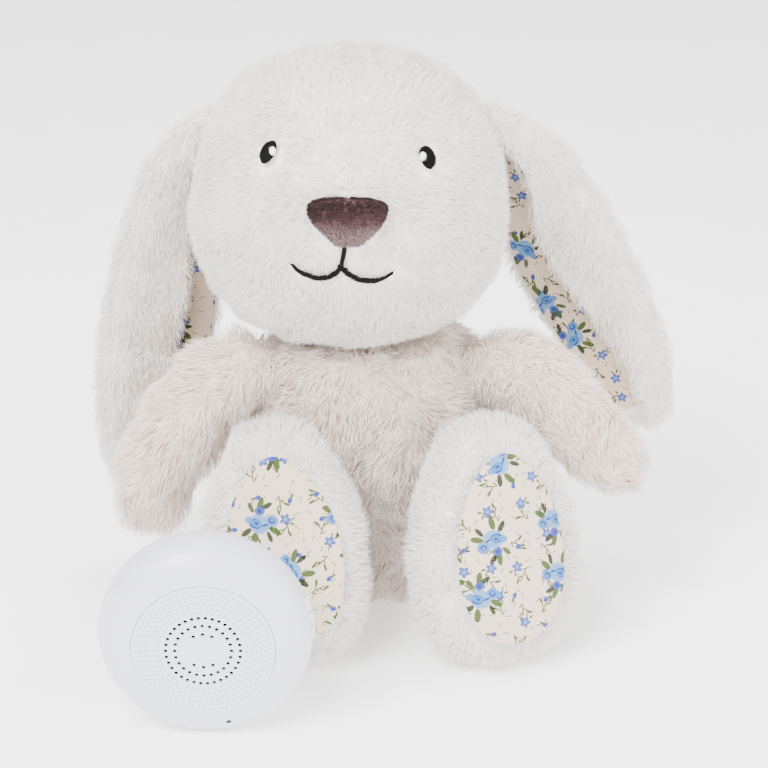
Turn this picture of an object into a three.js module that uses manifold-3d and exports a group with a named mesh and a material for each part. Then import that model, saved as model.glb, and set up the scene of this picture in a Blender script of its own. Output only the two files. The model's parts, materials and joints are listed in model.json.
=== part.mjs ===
// Interactive plush rabbit: a seated, lop-eared soft toy with a round sound module standing in front of it.
// Units are millimetres, +Z is up, and the pet faces -Y. It sits on the plane Z = 0.
import * as THREE from 'three';
import { mergeVertices } from 'three/addons/utils/BufferGeometryUtils.js';
import Module from 'manifold-3d';

const wasm = await Module();
wasm.setup();

// ---------------------------------------------------------------- driving dimensions
const COVER = 3;                 // plush cover thickness
const GAP = 0.4;                 // clearance between pieces that lie against each other
const SWING = 1.8;               // clearance round a limb that moves
const CUT_LENGTH = 400;          // longer than the pet, for cutting blocks

const HEAD = { x: -14, y: -10, bottom: 116, top: 240 };
const NECK = { x: -12, y: -4, radius: 17 };
const BODY_TOP = 124;
const TAIL = { at: [3, 58, 12.2], radius: 12 };
const ARM_BALL = 17;
const LEG_BALL = 19.5;
const FOOT = { halfLength: 51.5, halfWidth: 35, halfThickness: 23, soleFace: 16, tilt: 18 };
const SOLE = { halfLength: 37.5, halfWidth: 22.5, thickness: 1.6, low: 3 };
const EAR = { thickness: 6.5, fold: 7, lining: 1, rim: 4, root: 8 };
const POCKET = { x: -4, z: 69, radius: 41.6, floor: 5, liner: 1, lip: 36 };
const FLAP = { radius: 48, top: 113.5, bottom: 25, lift: 2.1, thickness: 3 };
const TAPE = { thickness: 0.6, gap: 0.3, from: 26, to: 50 };
const MODULE = { x: -67.5, y: -134.5, radius: 40.6, face: 15, back: 17, wall: 2, lean: 4, power: 2.6 };
const GRILLE = { radius: 27, thickness: 2, hole: 0.75, ledge: 2 };
const SPEAKER = { frame: 20.5, throat: 17.5, cone: 16.6, magnet: 11, front: 11.6 };
const LED = { x: 8.5, y: -32.5, radius: 1 };
const SCREW = { angles: [70, 190, 310], reach: 30, shaft: 1.2, hole: 1.6, head: 2.4, post: 3.4 };
const SOCKET = { angle: 160, halfWidth: 4.5, top: -5.4, bottom: -8.6, wall: 0.9 };
const KEY = { length: 4.8, width: 5, pitch: 5.8, proud: 0.9, depth: 5, centre: 9 };

const EAR_LIFT = [0, 20, 40];
const LEG_SPREAD = [0, 6];
const ARM_SWING = [0, 12, 25];

const FUR_WHITE = 0xe9e6e2;
const FUR_CREAM = 0xe2d9d2;
const FLORAL = 0xe6dccf;

// ---------------------------------------------------------------- solids
// A closed, outward-facing solid from any closed three.js geometry.
function solid(geometry) {
  const bare = new THREE.BufferGeometry();
  bare.setAttribute('position', geometry.getAttribute('position').clone());
  if (geometry.index) bare.setIndex(geometry.index.clone());
  const merged = mergeVertices(bare, 1e-4);
  const points = merged.getAttribute('position').array;
  const index = merged.index.array;
  const faces = [];
  for (let i = 0; i < index.length; i += 3) {
    const [a, b, c] = [index[i], index[i + 1], index[i + 2]];
    if (a !== b && b !== c && c !== a) faces.push(a, b, c);
  }
  if (signedVolume(points, faces) < 0) faces.reverse();
  const mesh = new wasm.Mesh({ numProp: 3, vertProperties: points, triVerts: Uint32Array.from(faces) });
  return new wasm.Manifold(mesh);
}

function signedVolume(points, faces) {
  const corner = (k) => new THREE.Vector3().fromArray(points, faces[k] * 3);
  let volume = 0;
  for (let i = 0; i < faces.length; i += 3) {
    volume += corner(i).dot(corner(i + 1).cross(corner(i + 2)));
  }
  return volume;
}

function geometryOf(manifold) {
  const mesh = manifold.getMesh();
  const geometry = new THREE.BufferGeometry();
  geometry.setAttribute('position', new THREE.BufferAttribute(mesh.vertProperties, 3));
  geometry.setIndex(new THREE.BufferAttribute(mesh.triVerts, 1));
  return geometry;
}

function cut(base, ...tools) {
  return tools.reduce((left, tool) => left.subtract(tool), base);
}

function join(...pieces) {
  return pieces.reduce((all, piece) => all.add(piece));
}

function largestPiece(manifold) {
  return manifold.decompose().sort((a, b) => b.volume() - a.volume())[0];
}

function block(low, high) {
  const size = high.map((value, i) => value - low[i]);
  const middle = high.map((value, i) => (value + low[i]) / 2);
  return solid(new THREE.BoxGeometry(...size).translate(...middle));
}

function ball(at, radius, segments = 18) {
  return solid(new THREE.SphereGeometry(radius, segments, segments / 2).translate(...at));
}

// A cylinder from one point to another.
function rod(from, to, radius, segments = 20) {
  const start = new THREE.Vector3(...from);
  const end = new THREE.Vector3(...to);
  const direction = end.clone().sub(start);
  const geometry = new THREE.CylinderGeometry(radius, radius, direction.length(), segments);
  const turn = new THREE.Quaternion().setFromUnitVectors(new THREE.Vector3(0, 1, 0), direction.normalize());
  return solid(geometry.applyQuaternion(turn).translate(...start.add(end).multiplyScalar(0.5)));
}

// A solid of revolution about Z from [radius, height] pairs.
function lathe(profile, segments = 40) {
  const points = profile.map(([radius, height]) => new THREE.Vector2(radius, height));
  return solid(new THREE.LatheGeometry(points, segments).rotateX(Math.PI / 2));
}

// The value at share s of an evenly spaced list.
function along(values, s) {
  const place = s * (values.length - 1);
  const i = Math.min(Math.floor(place), values.length - 2);
  return THREE.MathUtils.lerp(values[i], values[i + 1], place - i);
}

// Rings of points joined into a closed skin, with one pole point at each end.
function skinOver(rings, firstPole, lastPole) {
  const count = rings[0].length;
  const points = [firstPole, ...rings.flat(), lastPole];
  const at = (i, j) => 1 + i * count + (j % count);
  const index = [];
  for (let j = 0; j < count; j += 1) {
    index.push(0, at(0, j + 1), at(0, j));
    index.push(points.length - 1, at(rings.length - 1, j), at(rings.length - 1, j + 1));
    for (let i = 0; i < rings.length - 1; i += 1) {
      index.push(at(i, j), at(i, j + 1), at(i + 1, j + 1));
      index.push(at(i, j), at(i + 1, j + 1), at(i + 1, j));
    }
  }
  const geometry = new THREE.BufferGeometry().setFromPoints(points);
  geometry.setIndex(index);
  return geometry;
}

// A stuffed form: rounded ends, a curved spine, and half widths and half depths along it.
// grow moves the whole surface outwards, or inwards where it is negative.
function plump(form, grow = 0) {
  const { spine, width, depth, side = [1, 0, 0], fullness = 0.6, square = 2, segments = 22, rings = 11, warp } = form;
  const boxy = (value) => Math.sign(value) * Math.abs(value) ** (2 / square);
  const curve = new THREE.CatmullRomCurve3(spine.map((p) => new THREE.Vector3(...p)), false, 'centripetal');
  const place = (phi, angle) => {
    const s = (1 - Math.cos(phi)) / 2;
    const tangent = curve.getTangent(s);
    const across = new THREE.Vector3(...side);
    across.addScaledVector(tangent, -across.dot(tangent)).normalize();
    const through = tangent.clone().cross(across);
    const swell = Math.max(Math.sin(phi), 0) ** fullness;
    const point = curve.getPoint(s).addScaledVector(tangent, -grow * Math.cos(phi));
    if (angle !== null) {
      point.addScaledVector(across, (along(width, s) * swell + grow) * boxy(Math.cos(angle)));
      point.addScaledVector(through, (along(depth, s) * swell + grow) * boxy(Math.sin(angle)));
    }
    return warp ? warp(point) : point;
  };
  const levels = [...Array(rings - 1).keys()].map((i) => (Math.PI * (i + 1)) / rings);
  const turns = [...Array(segments).keys()].map((j) => (2 * Math.PI * j) / segments);
  const loops = levels.map((phi) => turns.map((angle) => place(phi, angle)));
  return solid(skinOver(loops, place(0, null), place(Math.PI, null)));
}

// Everything a form sweeps through as it turns about a pivot.
function sweep(manifold, pivot, axis, degrees) {
  const turned = degrees.map((angle) => {
    const about = new THREE.Matrix4().makeRotationAxis(new THREE.Vector3(...axis), THREE.MathUtils.degToRad(angle));
    const matrix = new THREE.Matrix4().makeTranslation(...pivot).multiply(about);
    matrix.multiply(new THREE.Matrix4().makeTranslation(...pivot.map((v) => -v)));
    return manifold.transform(matrix.elements);
  });
  return join(...turned);
}

// ---------------------------------------------------------------- head
function muzzle(point) {
  const dx = (point.x - HEAD.x) / 30;
  const dz = (point.z - 168) / 22;
  if (point.y < HEAD.y) point.y -= 8 * Math.exp(-dx * dx - dz * dz);
  return point;
}

const headForm = {
  spine: [[-13, -6, HEAD.bottom], [HEAD.x, HEAD.y, 178], [-15, HEAD.y, HEAD.top]],
  width: [60, 70, 68, 67, 65, 63, 58],
  depth: [50, 55, 56, 55, 54, 52, 48],
  segments: 20,
  rings: 10,
  warp: muzzle,
};

function headCover(recesses) {
  const hollow = join(plump({ ...headForm, segments: 10, rings: 6 }, -COVER - 1.5), neckPlug(NECK.radius));
  return cut(plump(headForm), hollow, ...recesses);
}

function neckPlug(radius) {
  return rod([NECK.x, NECK.y, HEAD.bottom - 20], [NECK.x, NECK.y, HEAD.bottom + 20], radius);
}

function headStuffing() {
  return plump({ ...headForm, segments: 10, rings: 6 }, -COVER - 1.5 - GAP);
}

const headSurface = new THREE.Mesh(geometryOf(plump(headForm)));

// The depth of the head's surface straight behind (x, z) as seen from the front.
function faceDepth(x, z) {
  const ray = new THREE.Raycaster(new THREE.Vector3(x, -CUT_LENGTH, z), new THREE.Vector3(0, 1, 0));
  return ray.intersectObject(headSurface)[0].point.y;
}

const EYES = { eye_left: [-45, 206.5], eye_right: [17.4, 206] };

function eye([x, z], grow = 0) {
  const y = faceDepth(x, z);
  const geometry = new THREE.CylinderGeometry(4.4 + grow, 4.4 + grow, 2.4 + 2 * grow, 16);
  geometry.scale(1, 1, 1.15);
  const outward = new THREE.Vector3((x - HEAD.x) / 110, -1, 0.35).normalize();
  const turn = new THREE.Quaternion().setFromUnitVectors(new THREE.Vector3(0, -1, 0), outward);
  return solid(geometry.applyQuaternion(turn).translate(x, y, z));
}

const NOSE = { x: -13.8, top: 192.5, bottom: 173.5, halfTop: 15.6, halfBottom: 4.2, depth: 7 };

function nose(grow = 0) {
  const { top, bottom, halfTop, halfBottom } = NOSE;
  const high = top - bottom;
  const shape = new THREE.Shape();
  shape.moveTo(-halfBottom - grow, -grow);
  shape.quadraticCurveTo(-halfTop - grow, high * 0.4, -halfTop - grow, high * 0.8);
  shape.quadraticCurveTo(-halfTop - grow, high + grow, 0, high + grow);
  shape.quadraticCurveTo(halfTop + grow, high + grow, halfTop + grow, high * 0.8);
  shape.quadraticCurveTo(halfTop + grow, high * 0.4, halfBottom + grow, -grow);
  const options = { depth: NOSE.depth + grow, bevelEnabled: false, curveSegments: 6 };
  const geometry = new THREE.ExtrudeGeometry(shape, options).rotateX(Math.PI / 2);
  const y = faceDepth(NOSE.x, (top + bottom) / 2) + 4 + grow;
  return solid(geometry.translate(NOSE.x, y, bottom));
}

// The embroidered mouth: one thread line under the nose and a smile to each side.
function mouth() {
  const [x, z] = [-16.3, 164.2];
  const lines = [
    [[-14.5, 172.4], [-15.5, 168.4], [x, z]],
    [[x, z], [-20, 160.4], [-26, 159], [-32, 161.4], [-35.3, 165.6]],
    [[x, z], [-12, 160], [-5, 158.6], [1, 160.2], [5, 163.8]],
  ];
  const onFace = ([u, w]) => new THREE.Vector3(u, faceDepth(u, w) - 1.5, w);
  const tubes = lines.map((line) => {
    const route = new THREE.CatmullRomCurve3(line.map(onFace));
    const section = new THREE.Shape().absarc(0, 0, 0.8, 0, Math.PI * 2);
    return solid(new THREE.ExtrudeGeometry(section, { steps: 5, extrudePath: route, curveSegments: 3 }));
  });
  return join(ball(onFace([x, z]).toArray(), 1, 8), ...tubes);
}

// ---------------------------------------------------------------- ears
// Each ear is one folded sheet: its back wall hangs behind the arm, and its outer part folds forwards.
// Stations run from the root to the tip: [x, y, z, wall width, folded width].
const EARS = {
  ear_left: {
    out: -1,
    pivot: [-65, 6, 205],
    stations: [
      [-66, 6, 206, 13, 0], [-75, 8, 195, 24, 4], [-82, 14, 180, 34, 10], [-87, 20, 157, 44, 18], [-91, 24, 130, 50, 24],
      [-96, 26, 103, 52, 23], [-98, 26, 78, 51, 18], [-100, 25, 56, 46, 10], [-102, 24, 40, 35, 3], [-105, 23, 33, 17, 0],
    ],
  },
  ear_right: {
    out: 1,
    pivot: [38, 6, 205],
    stations: [
      [39, 6, 206, 13, 0], [49, 8, 197, 24, 4], [59, 14, 183, 36, 10], [67, 20, 164, 47, 20], [76, 24, 142, 52, 23],
      [87, 26, 121, 51, 18], [97, 26, 103, 46, 12], [105, 25, 86, 38, 7], [112, 24, 73, 27, 3], [117, 23, 65, 14, 0],
    ],
  },
};

// One cross-section of the ear sheet as [outward, forward] pairs, between two offsets from its middle line.
function earSection(wall, folded, from, to, trim) {
  const line = [];
  const radius = EAR.fold;
  for (let i = 0; i <= 3; i += 1) {
    line.push({ u: THREE.MathUtils.lerp(-wall / 2 + trim, wall / 2 - radius, i / 3), v: -radius, nu: 0, nv: -1 });
  }
  for (let i = 1; i <= 3; i += 1) {
    const angle = -Math.PI / 2 + (Math.PI * i) / 4;
    const [c, s] = [Math.cos(angle), Math.sin(angle)];
    line.push({ u: wall / 2 - radius + radius * c, v: radius * s, nu: c, nv: s });
  }
  for (let i = 0; i <= 2; i += 1) {
    const reach = Math.max(folded - trim, 0.5);
    line.push({ u: wall / 2 - radius - (reach * i) / 2, v: radius, nu: 0, nv: 1 });
  }
  const offset = (amount) => line.map((p) => [p.u + p.nu * amount, p.v + p.nv * amount]);
  return [...offset(from), ...offset(to).reverse()];
}

function earSheet(ear, from, to, trim, ends) {
  const { stations, out } = ear;
  const spine = stations.map(([x, y, z]) => new THREE.Vector3(x, y, z));
  const sections = stations.slice(ends, stations.length - ends).map(([, , , wall, folded], k) => {
    const i = k + ends;
    const next = spine[Math.min(i + 1, spine.length - 1)];
    const down = next.clone().sub(spine[Math.max(i - 1, 0)]).normalize();
    const forward = new THREE.Vector3(0.35 * -out, -1, 0);
    forward.addScaledVector(down, -forward.dot(down)).normalize();
    const outward = forward.clone().cross(down).multiplyScalar(out);
    const flat = earSection(wall, folded, from, to, trim);
    const points = flat.map(([u, v]) => {
      return spine[i].clone().addScaledVector(outward, u).addScaledVector(forward, v);
    });
    return { flat: flat.map(([u, v]) => new THREE.Vector2(u, v)), points };
  });
  return solid(sectionLoft(sections));
}

// Sections with the same number of points joined into a closed skin with a flat cap at each end.
function sectionLoft(sections) {
  const count = sections[0].points.length;
  const index = [];
  for (let i = 0; i < sections.length - 1; i += 1) {
    for (let j = 0; j < count; j += 1) {
      const [a, b] = [i * count + j, i * count + ((j + 1) % count)];
      index.push(a, b, b + count, a, b + count, a + count);
    }
  }
  const cap = (k, flip) => {
    THREE.ShapeUtils.triangulateShape(sections[k].flat, []).forEach(([a, b, c]) => {
      const face = [a, b, c].map((v) => v + k * count);
      index.push(...(flip ? face.reverse() : face));
    });
  };
  const clockwise = THREE.ShapeUtils.isClockWise(sections[0].flat);
  cap(0, !clockwise);
  cap(sections.length - 1, clockwise);
  const geometry = new THREE.BufferGeometry().setFromPoints(sections.flatMap((s) => s.points));
  geometry.setIndex(index);
  return geometry;
}

function earCover(ear) {
  const half = EAR.thickness / 2;
  return join(earSheet(ear, half, -half, 0, 0), ball(ear.pivot, EAR.root, 10));
}

// Room in the head for the ear's root, its sheet and its lining as the ear lifts outwards.
function earRoom(ear) {
  const half = EAR.thickness / 2 + 1;
  const sheet = earSheet(ear, half, -half - GAP - EAR.lining, -1, 0);
  return join(sweep(sheet, ear.pivot, [0, -ear.out, 0], EAR_LIFT), ball(ear.pivot, EAR.root + 1, 10));
}

function earLining(ear) {
  const inner = EAR.thickness / 2 + GAP;
  return earSheet(ear, -inner, -inner - EAR.lining, EAR.rim, 1);
}

// ---------------------------------------------------------------- limbs
const ARMS = {
  arm_left: {
    pivot: [-51, -10, 101],
    axis: [0, 1, 0],
    form: {
      spine: [[-46, -8, 106], [-64, -15, 102], [-82, -24, 86], [-95, -30, 62], [-99, -33, 37]],
      width: [18, 20.5, 20.5, 18.5, 17],
      depth: [18, 20.5, 20, 18.5, 17.5],
    },
  },
  arm_right: {
    pivot: [39, -10, 101],
    axis: [0, -1, 0],
    form: {
      spine: [[34, -8, 106], [50, -14, 104], [68, -22, 95], [87, -29, 79], [104, -33, 59]],
      width: [18, 20.5, 20.5, 19.5, 17.5],
      depth: [18, 20.5, 20, 19, 18],
    },
  },
};
const LIMB_DETAIL = { side: [0, 1, 0], fullness: 0.5, segments: 12, rings: 8 };
const CORE_DETAIL = { side: [0, 1, 0], fullness: 0.5, segments: 8, rings: 6 };

function armSolid(arm, grow = 0, detail = LIMB_DETAIL) {
  return join(plump({ ...arm.form, ...detail }, grow), ball(arm.pivot, ARM_BALL + grow, detail.segments));
}

// The open end of a limb's cover, where it is sewn on and stuffed.
function limbMouth(limb, towards, radius) {
  return rod(limb.pivot, towards, radius, 12);
}

function armCover(arm) {
  const inside = join(armSolid(arm, -COVER, CORE_DETAIL), limbMouth(arm, [-6, 0, 96], 8));
  return cut(armSolid(arm), inside);
}

function armStuffing(arm) {
  return armSolid(arm, -COVER - GAP, CORE_DETAIL);
}

const LEGS = {
  leg_left: { pivot: [-26, -18.5, 30], foot: [-39.5, -69, 49.5], axis: [0, 0, -1], yaw: -3, lean: -8, size: 1 },
  leg_right: { pivot: [30, -18.5, 30], foot: [44, -67, 49.5], axis: [0, 0, 1], yaw: 24, lean: 4, size: 1.1 },
};

// The foot's own frame: X across, Y out of the back of the foot, Z from heel to toe.
function footMatrix(leg) {
  const turn = new THREE.Euler(
    THREE.MathUtils.degToRad(-FOOT.tilt),
    THREE.MathUtils.degToRad(leg.lean),
    THREE.MathUtils.degToRad(leg.yaw),
    'ZXY',
  );
  return new THREE.Matrix4().makeRotationFromEuler(turn).setPosition(...leg.foot);
}

function footSolid(leg, grow = 0, segments = 16) {
  const { halfLength, halfThickness, soleFace } = FOOT;
  const halfWidth = FOOT.halfWidth * leg.size;
  const form = {
    spine: [[0, 0, -halfLength], [0, 0, 0], [0, 0, halfLength]],
    width: [halfWidth * 0.92, halfWidth * 1.04, halfWidth, halfWidth * 0.88, halfWidth * 0.72],
    depth: [halfThickness, halfThickness * 1.05, halfThickness, halfThickness * 0.9, halfThickness * 0.75],
    fullness: 0.55,
    segments,
    rings: 8,
  };
  const front = block([-CUT_LENGTH, -CUT_LENGTH, -CUT_LENGTH], [CUT_LENGTH, -soleFace - grow, CUT_LENGTH]);
  return cut(plump(form, grow), front).transform(footMatrix(leg).elements);
}

function thigh(leg, grow = 0, segments = 14) {
  const [[px, py, pz], [fx, fy, fz]] = [leg.pivot, leg.foot];
  const form = {
    spine: [[px, py + 4, pz], [(px + fx) / 2 - 1, (py + fy) / 2, (pz + fz) / 2 - 4], [fx - 2, fy + 4, fz - 8]],
    width: [22, 26, 28 * leg.size],
    depth: [22, 26, 28],
    segments,
    rings: 6,
  };
  return plump(form, grow);
}

function legSolid(leg, grow = 0, detail = 14) {
  const hip = ball(leg.pivot, LEG_BALL + grow, 12);
  const whole = join(thigh(leg, grow, detail - 4), footSolid(leg, grow, detail), hip);
  return cut(whole, belowFloor(Math.max(-grow, 0)));
}

function belowFloor(level) {
  return block([-CUT_LENGTH, -CUT_LENGTH, -CUT_LENGTH], [CUT_LENGTH, CUT_LENGTH, level]);
}

function legCover(leg) {
  const inside = join(legSolid(leg, -COVER - 1, 10), limbMouth(leg, [0, 14, 34], 9));
  return cut(legSolid(leg), inside);
}

function legStuffing(leg) {
  return legSolid(leg, -COVER - 1 - GAP, 10);
}

function sole(leg) {
  const { halfLength, halfWidth, thickness, low } = SOLE;
  const widest = -halfLength * 0.15;
  const shape = new THREE.Shape();
  shape.moveTo(0, -halfLength);
  [1, -1].forEach((out) => {
    const [start, end] = [-out * halfLength, out * halfLength];
    const swell = start < end ? [0.6, 0.7, 0.45, 0.52] : [0.52, 0.45, 0.7, 0.6];
    const side = out * halfWidth;
    shape.bezierCurveTo(side * swell[0], start, side, start * swell[1], side, widest);
    shape.bezierCurveTo(side, end * swell[2], side * swell[3], end, 0, end);
  });
  const geometry = new THREE.ExtrudeGeometry(shape, { depth: thickness, bevelEnabled: false, curveSegments: 6 });
  geometry.rotateX(Math.PI / 2).translate(0, -FOOT.soleFace - GAP, -low);
  return solid(geometry).transform(footMatrix(leg).elements);
}

// ---------------------------------------------------------------- torso
const torsoForm = {
  spine: [[3, 8, -14], [0, 6, 30], [-4, 4, 70], [-8, 2, 100], [-10, 0, BODY_TOP + 6]],
  width: [58, 59, 58, 54, 47],
  depth: [48, 49, 48, 46, 40],
  fullness: 0.5,
  square: 2.7,
  segments: 20,
  rings: 9,
};
const torsoCore = { ...torsoForm, segments: 14, rings: 7 };

// The hollow that the head's rounded underside turns in.
function neckDish() {
  const dish = lathe([[0, 0], [24, 0.4], [40, 4], [50, 9.5], [58, 18], [62, 40], [0, 40]], 24);
  return dish.translate(NECK.x, NECK.y, HEAD.bottom - 1.5);
}

function pocketHollow(radius, floor) {
  return rod([POCKET.x, floor, POCKET.z], [POCKET.x, CUT_LENGTH, POCKET.z], radius, 24);
}

// Room in the torso for the limbs' round roots, and for the thighs as they spread.
function limbRoom(grow) {
  const arms = Object.values(ARMS).map((arm) => {
    const shape = armSolid(arm, grow, { ...CORE_DETAIL, segments: 12 });
    return sweep(shape, arm.pivot, arm.axis, ARM_SWING);
  });
  const legs = Object.values(LEGS).map((leg) => {
    const spread = sweep(thigh(leg, grow, 12), leg.pivot, leg.axis, LEG_SPREAD);
    return join(spread, ball(leg.pivot, LEG_BALL + grow, 14));
  });
  return join(...arms, ...legs);
}

function torsoCover(room) {
  const inside = join(
    cut(plump(torsoCore, -COVER - 1), belowFloor(COVER)),
    rod([NECK.x, NECK.y, 80], [NECK.x, NECK.y, 150], NECK.radius),
    pocketHollow(POCKET.radius + POCKET.liner + GAP, 20),
  );
  const outside = cut(plump(torsoForm), belowFloor(0), neckDish(), room, ball(TAIL.at, TAIL.radius + GAP + 0.3, 14));
  return largestPiece(cut(outside, inside));
}

function torsoStuffing(room) {
  const inside = cut(plump(torsoCore, -COVER - 1 - GAP), belowFloor(COVER + GAP));
  const pouch = pocketHollow(POCKET.radius + POCKET.liner + GAP, POCKET.floor - POCKET.liner - GAP);
  const tools = [neckDish(), room, pouch, ball(TAIL.at, TAIL.radius + GAP + 0.3, 14), beadBag(GAP)];
  return largestPiece(cut(inside, ...tools));
}

// A bag of plastic beads low in the torso keeps the pet sitting.
function beadBag(grow = 0) {
  const form = {
    spine: [[-24, 15, 10], [2, 17, 10], [28, 15, 10]],
    width: [15, 17, 15],
    depth: [8, 8.4, 8],
    side: [0, 1, 0],
    segments: 16,
    rings: 8,
  };
  const floor = COVER + GAP + 0.3;
  return cut(plump(form, grow), belowFloor(floor - grow));
}

function pocketLiner() {
  const { x, z, radius, floor, liner, lip } = POCKET;
  const outer = rod([x, floor - liner, z], [x, lip, z], radius + liner, 20);
  return cut(outer, rod([x, floor, z], [x, lip + 1, z], radius, 20));
}

// A layer that follows the torso's surface, between two heights above it.
function layer(low, high) {
  return cut(plump(torsoForm, high), plump(torsoForm, low));
}

function flapOutline(radius) {
  const disc = rod([POCKET.x, 14, POCKET.z], [POCKET.x, CUT_LENGTH, POCKET.z], radius, 28);
  return disc.intersect(block([-CUT_LENGTH, 0, FLAP.bottom], [CUT_LENGTH, CUT_LENGTH, FLAP.top]));
}

function pocketFlap() {
  return largestPiece(layer(FLAP.lift, FLAP.lift + FLAP.thickness).intersect(flapOutline(FLAP.radius)));
}

// One strip of hook-and-loop tape beside the pocket's mouth; the loop half is on the body, the hook half on the flap.
function tape(out, low) {
  const ring = cut(flapOutline(FLAP.radius - 1), pocketHollow(POCKET.radius + POCKET.liner + 1, 0));
  const ends = [POCKET.x + out * 10, POCKET.x + out * CUT_LENGTH].sort((a, b) => a - b);
  const strip = block([ends[0], 0, TAPE.from], [ends[1], CUT_LENGTH, TAPE.to]);
  return largestPiece(layer(low, low + TAPE.thickness).intersect(ring).intersect(strip));
}

function addTapes() {
  Object.entries({ left: -1, right: 1 }).forEach(([side, out]) => {
    addPiece(pet, `loop_tape_${side}`, tape(out, TAPE.gap), 0xf2f0ec);
    addPiece(pet, `hook_tape_${side}`, tape(out, 2 * TAPE.gap + TAPE.thickness), 0xf2f0ec);
  });
}

function tail() {
  return ball(TAIL.at, TAIL.radius, 14);
}

function careLabel() {
  const shape = new THREE.Shape();
  shape.moveTo(0, 0).lineTo(18, 0).lineTo(18, 12).lineTo(0, 12).closePath();
  const geometry = new THREE.ExtrudeGeometry(shape, { depth: 0.8, bevelEnabled: false });
  return solid(geometry.rotateX(Math.PI / 2).rotateZ(Math.PI / 2 - 0.35).translate(52.6, 24, 12));
}

// ---------------------------------------------------------------- sound module, Z out of its face
function shellRadius(height, inset = 0) {
  const half = (height > 0 ? MODULE.face : MODULE.back) + 1.6 - inset;
  const share = Math.min(Math.abs(height) / half, 1);
  return (MODULE.radius - inset) * (1 - share ** MODULE.power) ** (1 / MODULE.power);
}

function shellProfile(from, to, inset, steps) {
  const heights = [...Array(steps + 1).keys()].map((i) => THREE.MathUtils.lerp(from, to, i / steps));
  return heights.map((height) => [shellRadius(height, inset), height]);
}

function boss(angle, low, high, radius) {
  const at = bossPlace(angle);
  return rod([...at, low], [...at, high], radius, 8);
}

function bossPlace(angle) {
  const turn = THREE.MathUtils.degToRad(angle);
  return [SCREW.reach * Math.cos(turn), SCREW.reach * Math.sin(turn)];
}

function frontHousing() {
  const { face, wall } = MODULE;
  const outer = shellProfile(0.2, face, 0, 5);
  const inner = shellProfile(0.2, face - wall, wall, 4).reverse();
  const lip = [[GRILLE.radius + GAP, face], [GRILLE.radius + GAP, face - GRILLE.thickness - GAP]];
  const seat = GRILLE.radius - GRILLE.ledge;
  const ledge = [[seat, face - GRILLE.thickness - GAP], [seat, face - 4]];
  const shell = lathe([...outer, ...lip, ...ledge, ...inner.slice(1), outer[0]], 30);
  const posts = SCREW.angles.map((angle) => boss(angle, -4.6, 11, SCREW.post));
  const holes = SCREW.angles.map((angle) => boss(angle, -6, 5, SCREW.hole));
  return largestPiece(cut(join(shell, ...posts), ...holes, keyHoles(), ledHole(GAP)));
}

function rearHousing() {
  const { back, wall } = MODULE;
  const outer = shellProfile(-0.2, -back, 0, 5);
  const inner = shellProfile(-0.2, -back + wall, wall, 4);
  const shell = lathe([...outer, [0, -back], [0, -back + wall], ...inner.reverse(), outer[0]], 30);
  const posts = SCREW.angles.map((angle) => boss(angle, -13.5, -5, SCREW.post + 0.8));
  const shafts = SCREW.angles.map((angle) => boss(angle, -30, 0, SCREW.hole));
  const wells = SCREW.angles.map((angle) => boss(angle, -30, -9.4, SCREW.head + 0.5));
  return largestPiece(cut(join(shell, ...posts), ...shafts, ...wells, keyHoles(), socketHole()));
}

// Round sound holes in two full rings and two short arcs, on the flat grille disc.
function grille() {
  const { radius, thickness, hole } = GRILLE;
  const shape = new THREE.Shape(circle(0, 0, radius, 36));
  const rings = [{ at: 14, count: 34, arcs: [0, 360] }, { at: 10.6, count: 24, arcs: [0, 360] }];
  rings.push({ at: 7, count: 12, arcs: [45, 135] }, { at: 7, count: 12, arcs: [225, 315] });
  rings.forEach(({ at, count, arcs }) => {
    for (let i = 0; i < count; i += 1) {
      const degrees = (360 * i) / count;
      if (degrees < arcs[0] || degrees > arcs[1]) continue;
      const turn = THREE.MathUtils.degToRad(degrees);
      shape.holes.push(new THREE.Path(circle(at * Math.cos(turn), at * Math.sin(turn), hole, 4)));
    }
  });
  const options = { depth: thickness, bevelEnabled: false };
  return solid(new THREE.ExtrudeGeometry(shape, options).translate(0, 0, MODULE.face - thickness));
}

function circle(x, y, radius, sides) {
  const turns = [...Array(sides).keys()].map((i) => (2 * Math.PI * i) / sides);
  return turns.map((turn) => new THREE.Vector2(x + radius * Math.cos(turn), y + radius * Math.sin(turn)));
}

function soundCloth() {
  return lathe([[0, 12.1], [GRILLE.radius - 3, 12.1], [GRILLE.radius - 3, 12.5], [0, 12.5]], 20);
}

function speakerBasket() {
  const { frame, throat, front } = SPEAKER;
  const inner = [[throat, front], [throat, 8.5], [10, 0.2], [5, 0.2], [5, -2.4]];
  return lathe([...inner, [12, -2.4], [18.7, 7.5], [frame, 10], [frame, front], inner[0]], 20);
}

function speakerCone() {
  return lathe([[0, 4], [5, 4.6], [8, 3], [SPEAKER.cone, 10.2], [SPEAKER.cone, 9.4], [8, 2], [5, 3.4], [0, 2.8]], 20);
}

function speakerMagnet() {
  return lathe([[0, -2.9], [SPEAKER.magnet, -2.9], [SPEAKER.magnet, -8], [0, -8]], 18);
}

function circuitBoard() {
  return lathe([[0, -8.6], [24.5, -8.6], [24.5, -10], [0, -10]], 20);
}

function battery() {
  return block([-15, -10, -14.4], [15, 10, -10.5]);
}

function keyAngle(i) {
  const step = THREE.MathUtils.radToDeg(KEY.pitch / MODULE.radius);
  return KEY.centre + (i - 1) * step;
}

// A key of the side strip: it slides in along its own radius.
function key(i, grow = 0) {
  const from = MODULE.radius - KEY.depth;
  const to = MODULE.radius + KEY.proud;
  const [half, tall] = [KEY.length / 2 + grow, KEY.width / 2 + grow];
  const body = block([from - grow, -half, -tall], [to + grow, half, tall]);
  const crown = rod([0, 0, -KEY.width], [0, 0, KEY.width], to + grow, 120);
  return body.intersect(crown).rotate([0, 0, keyAngle(i)]);
}

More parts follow.
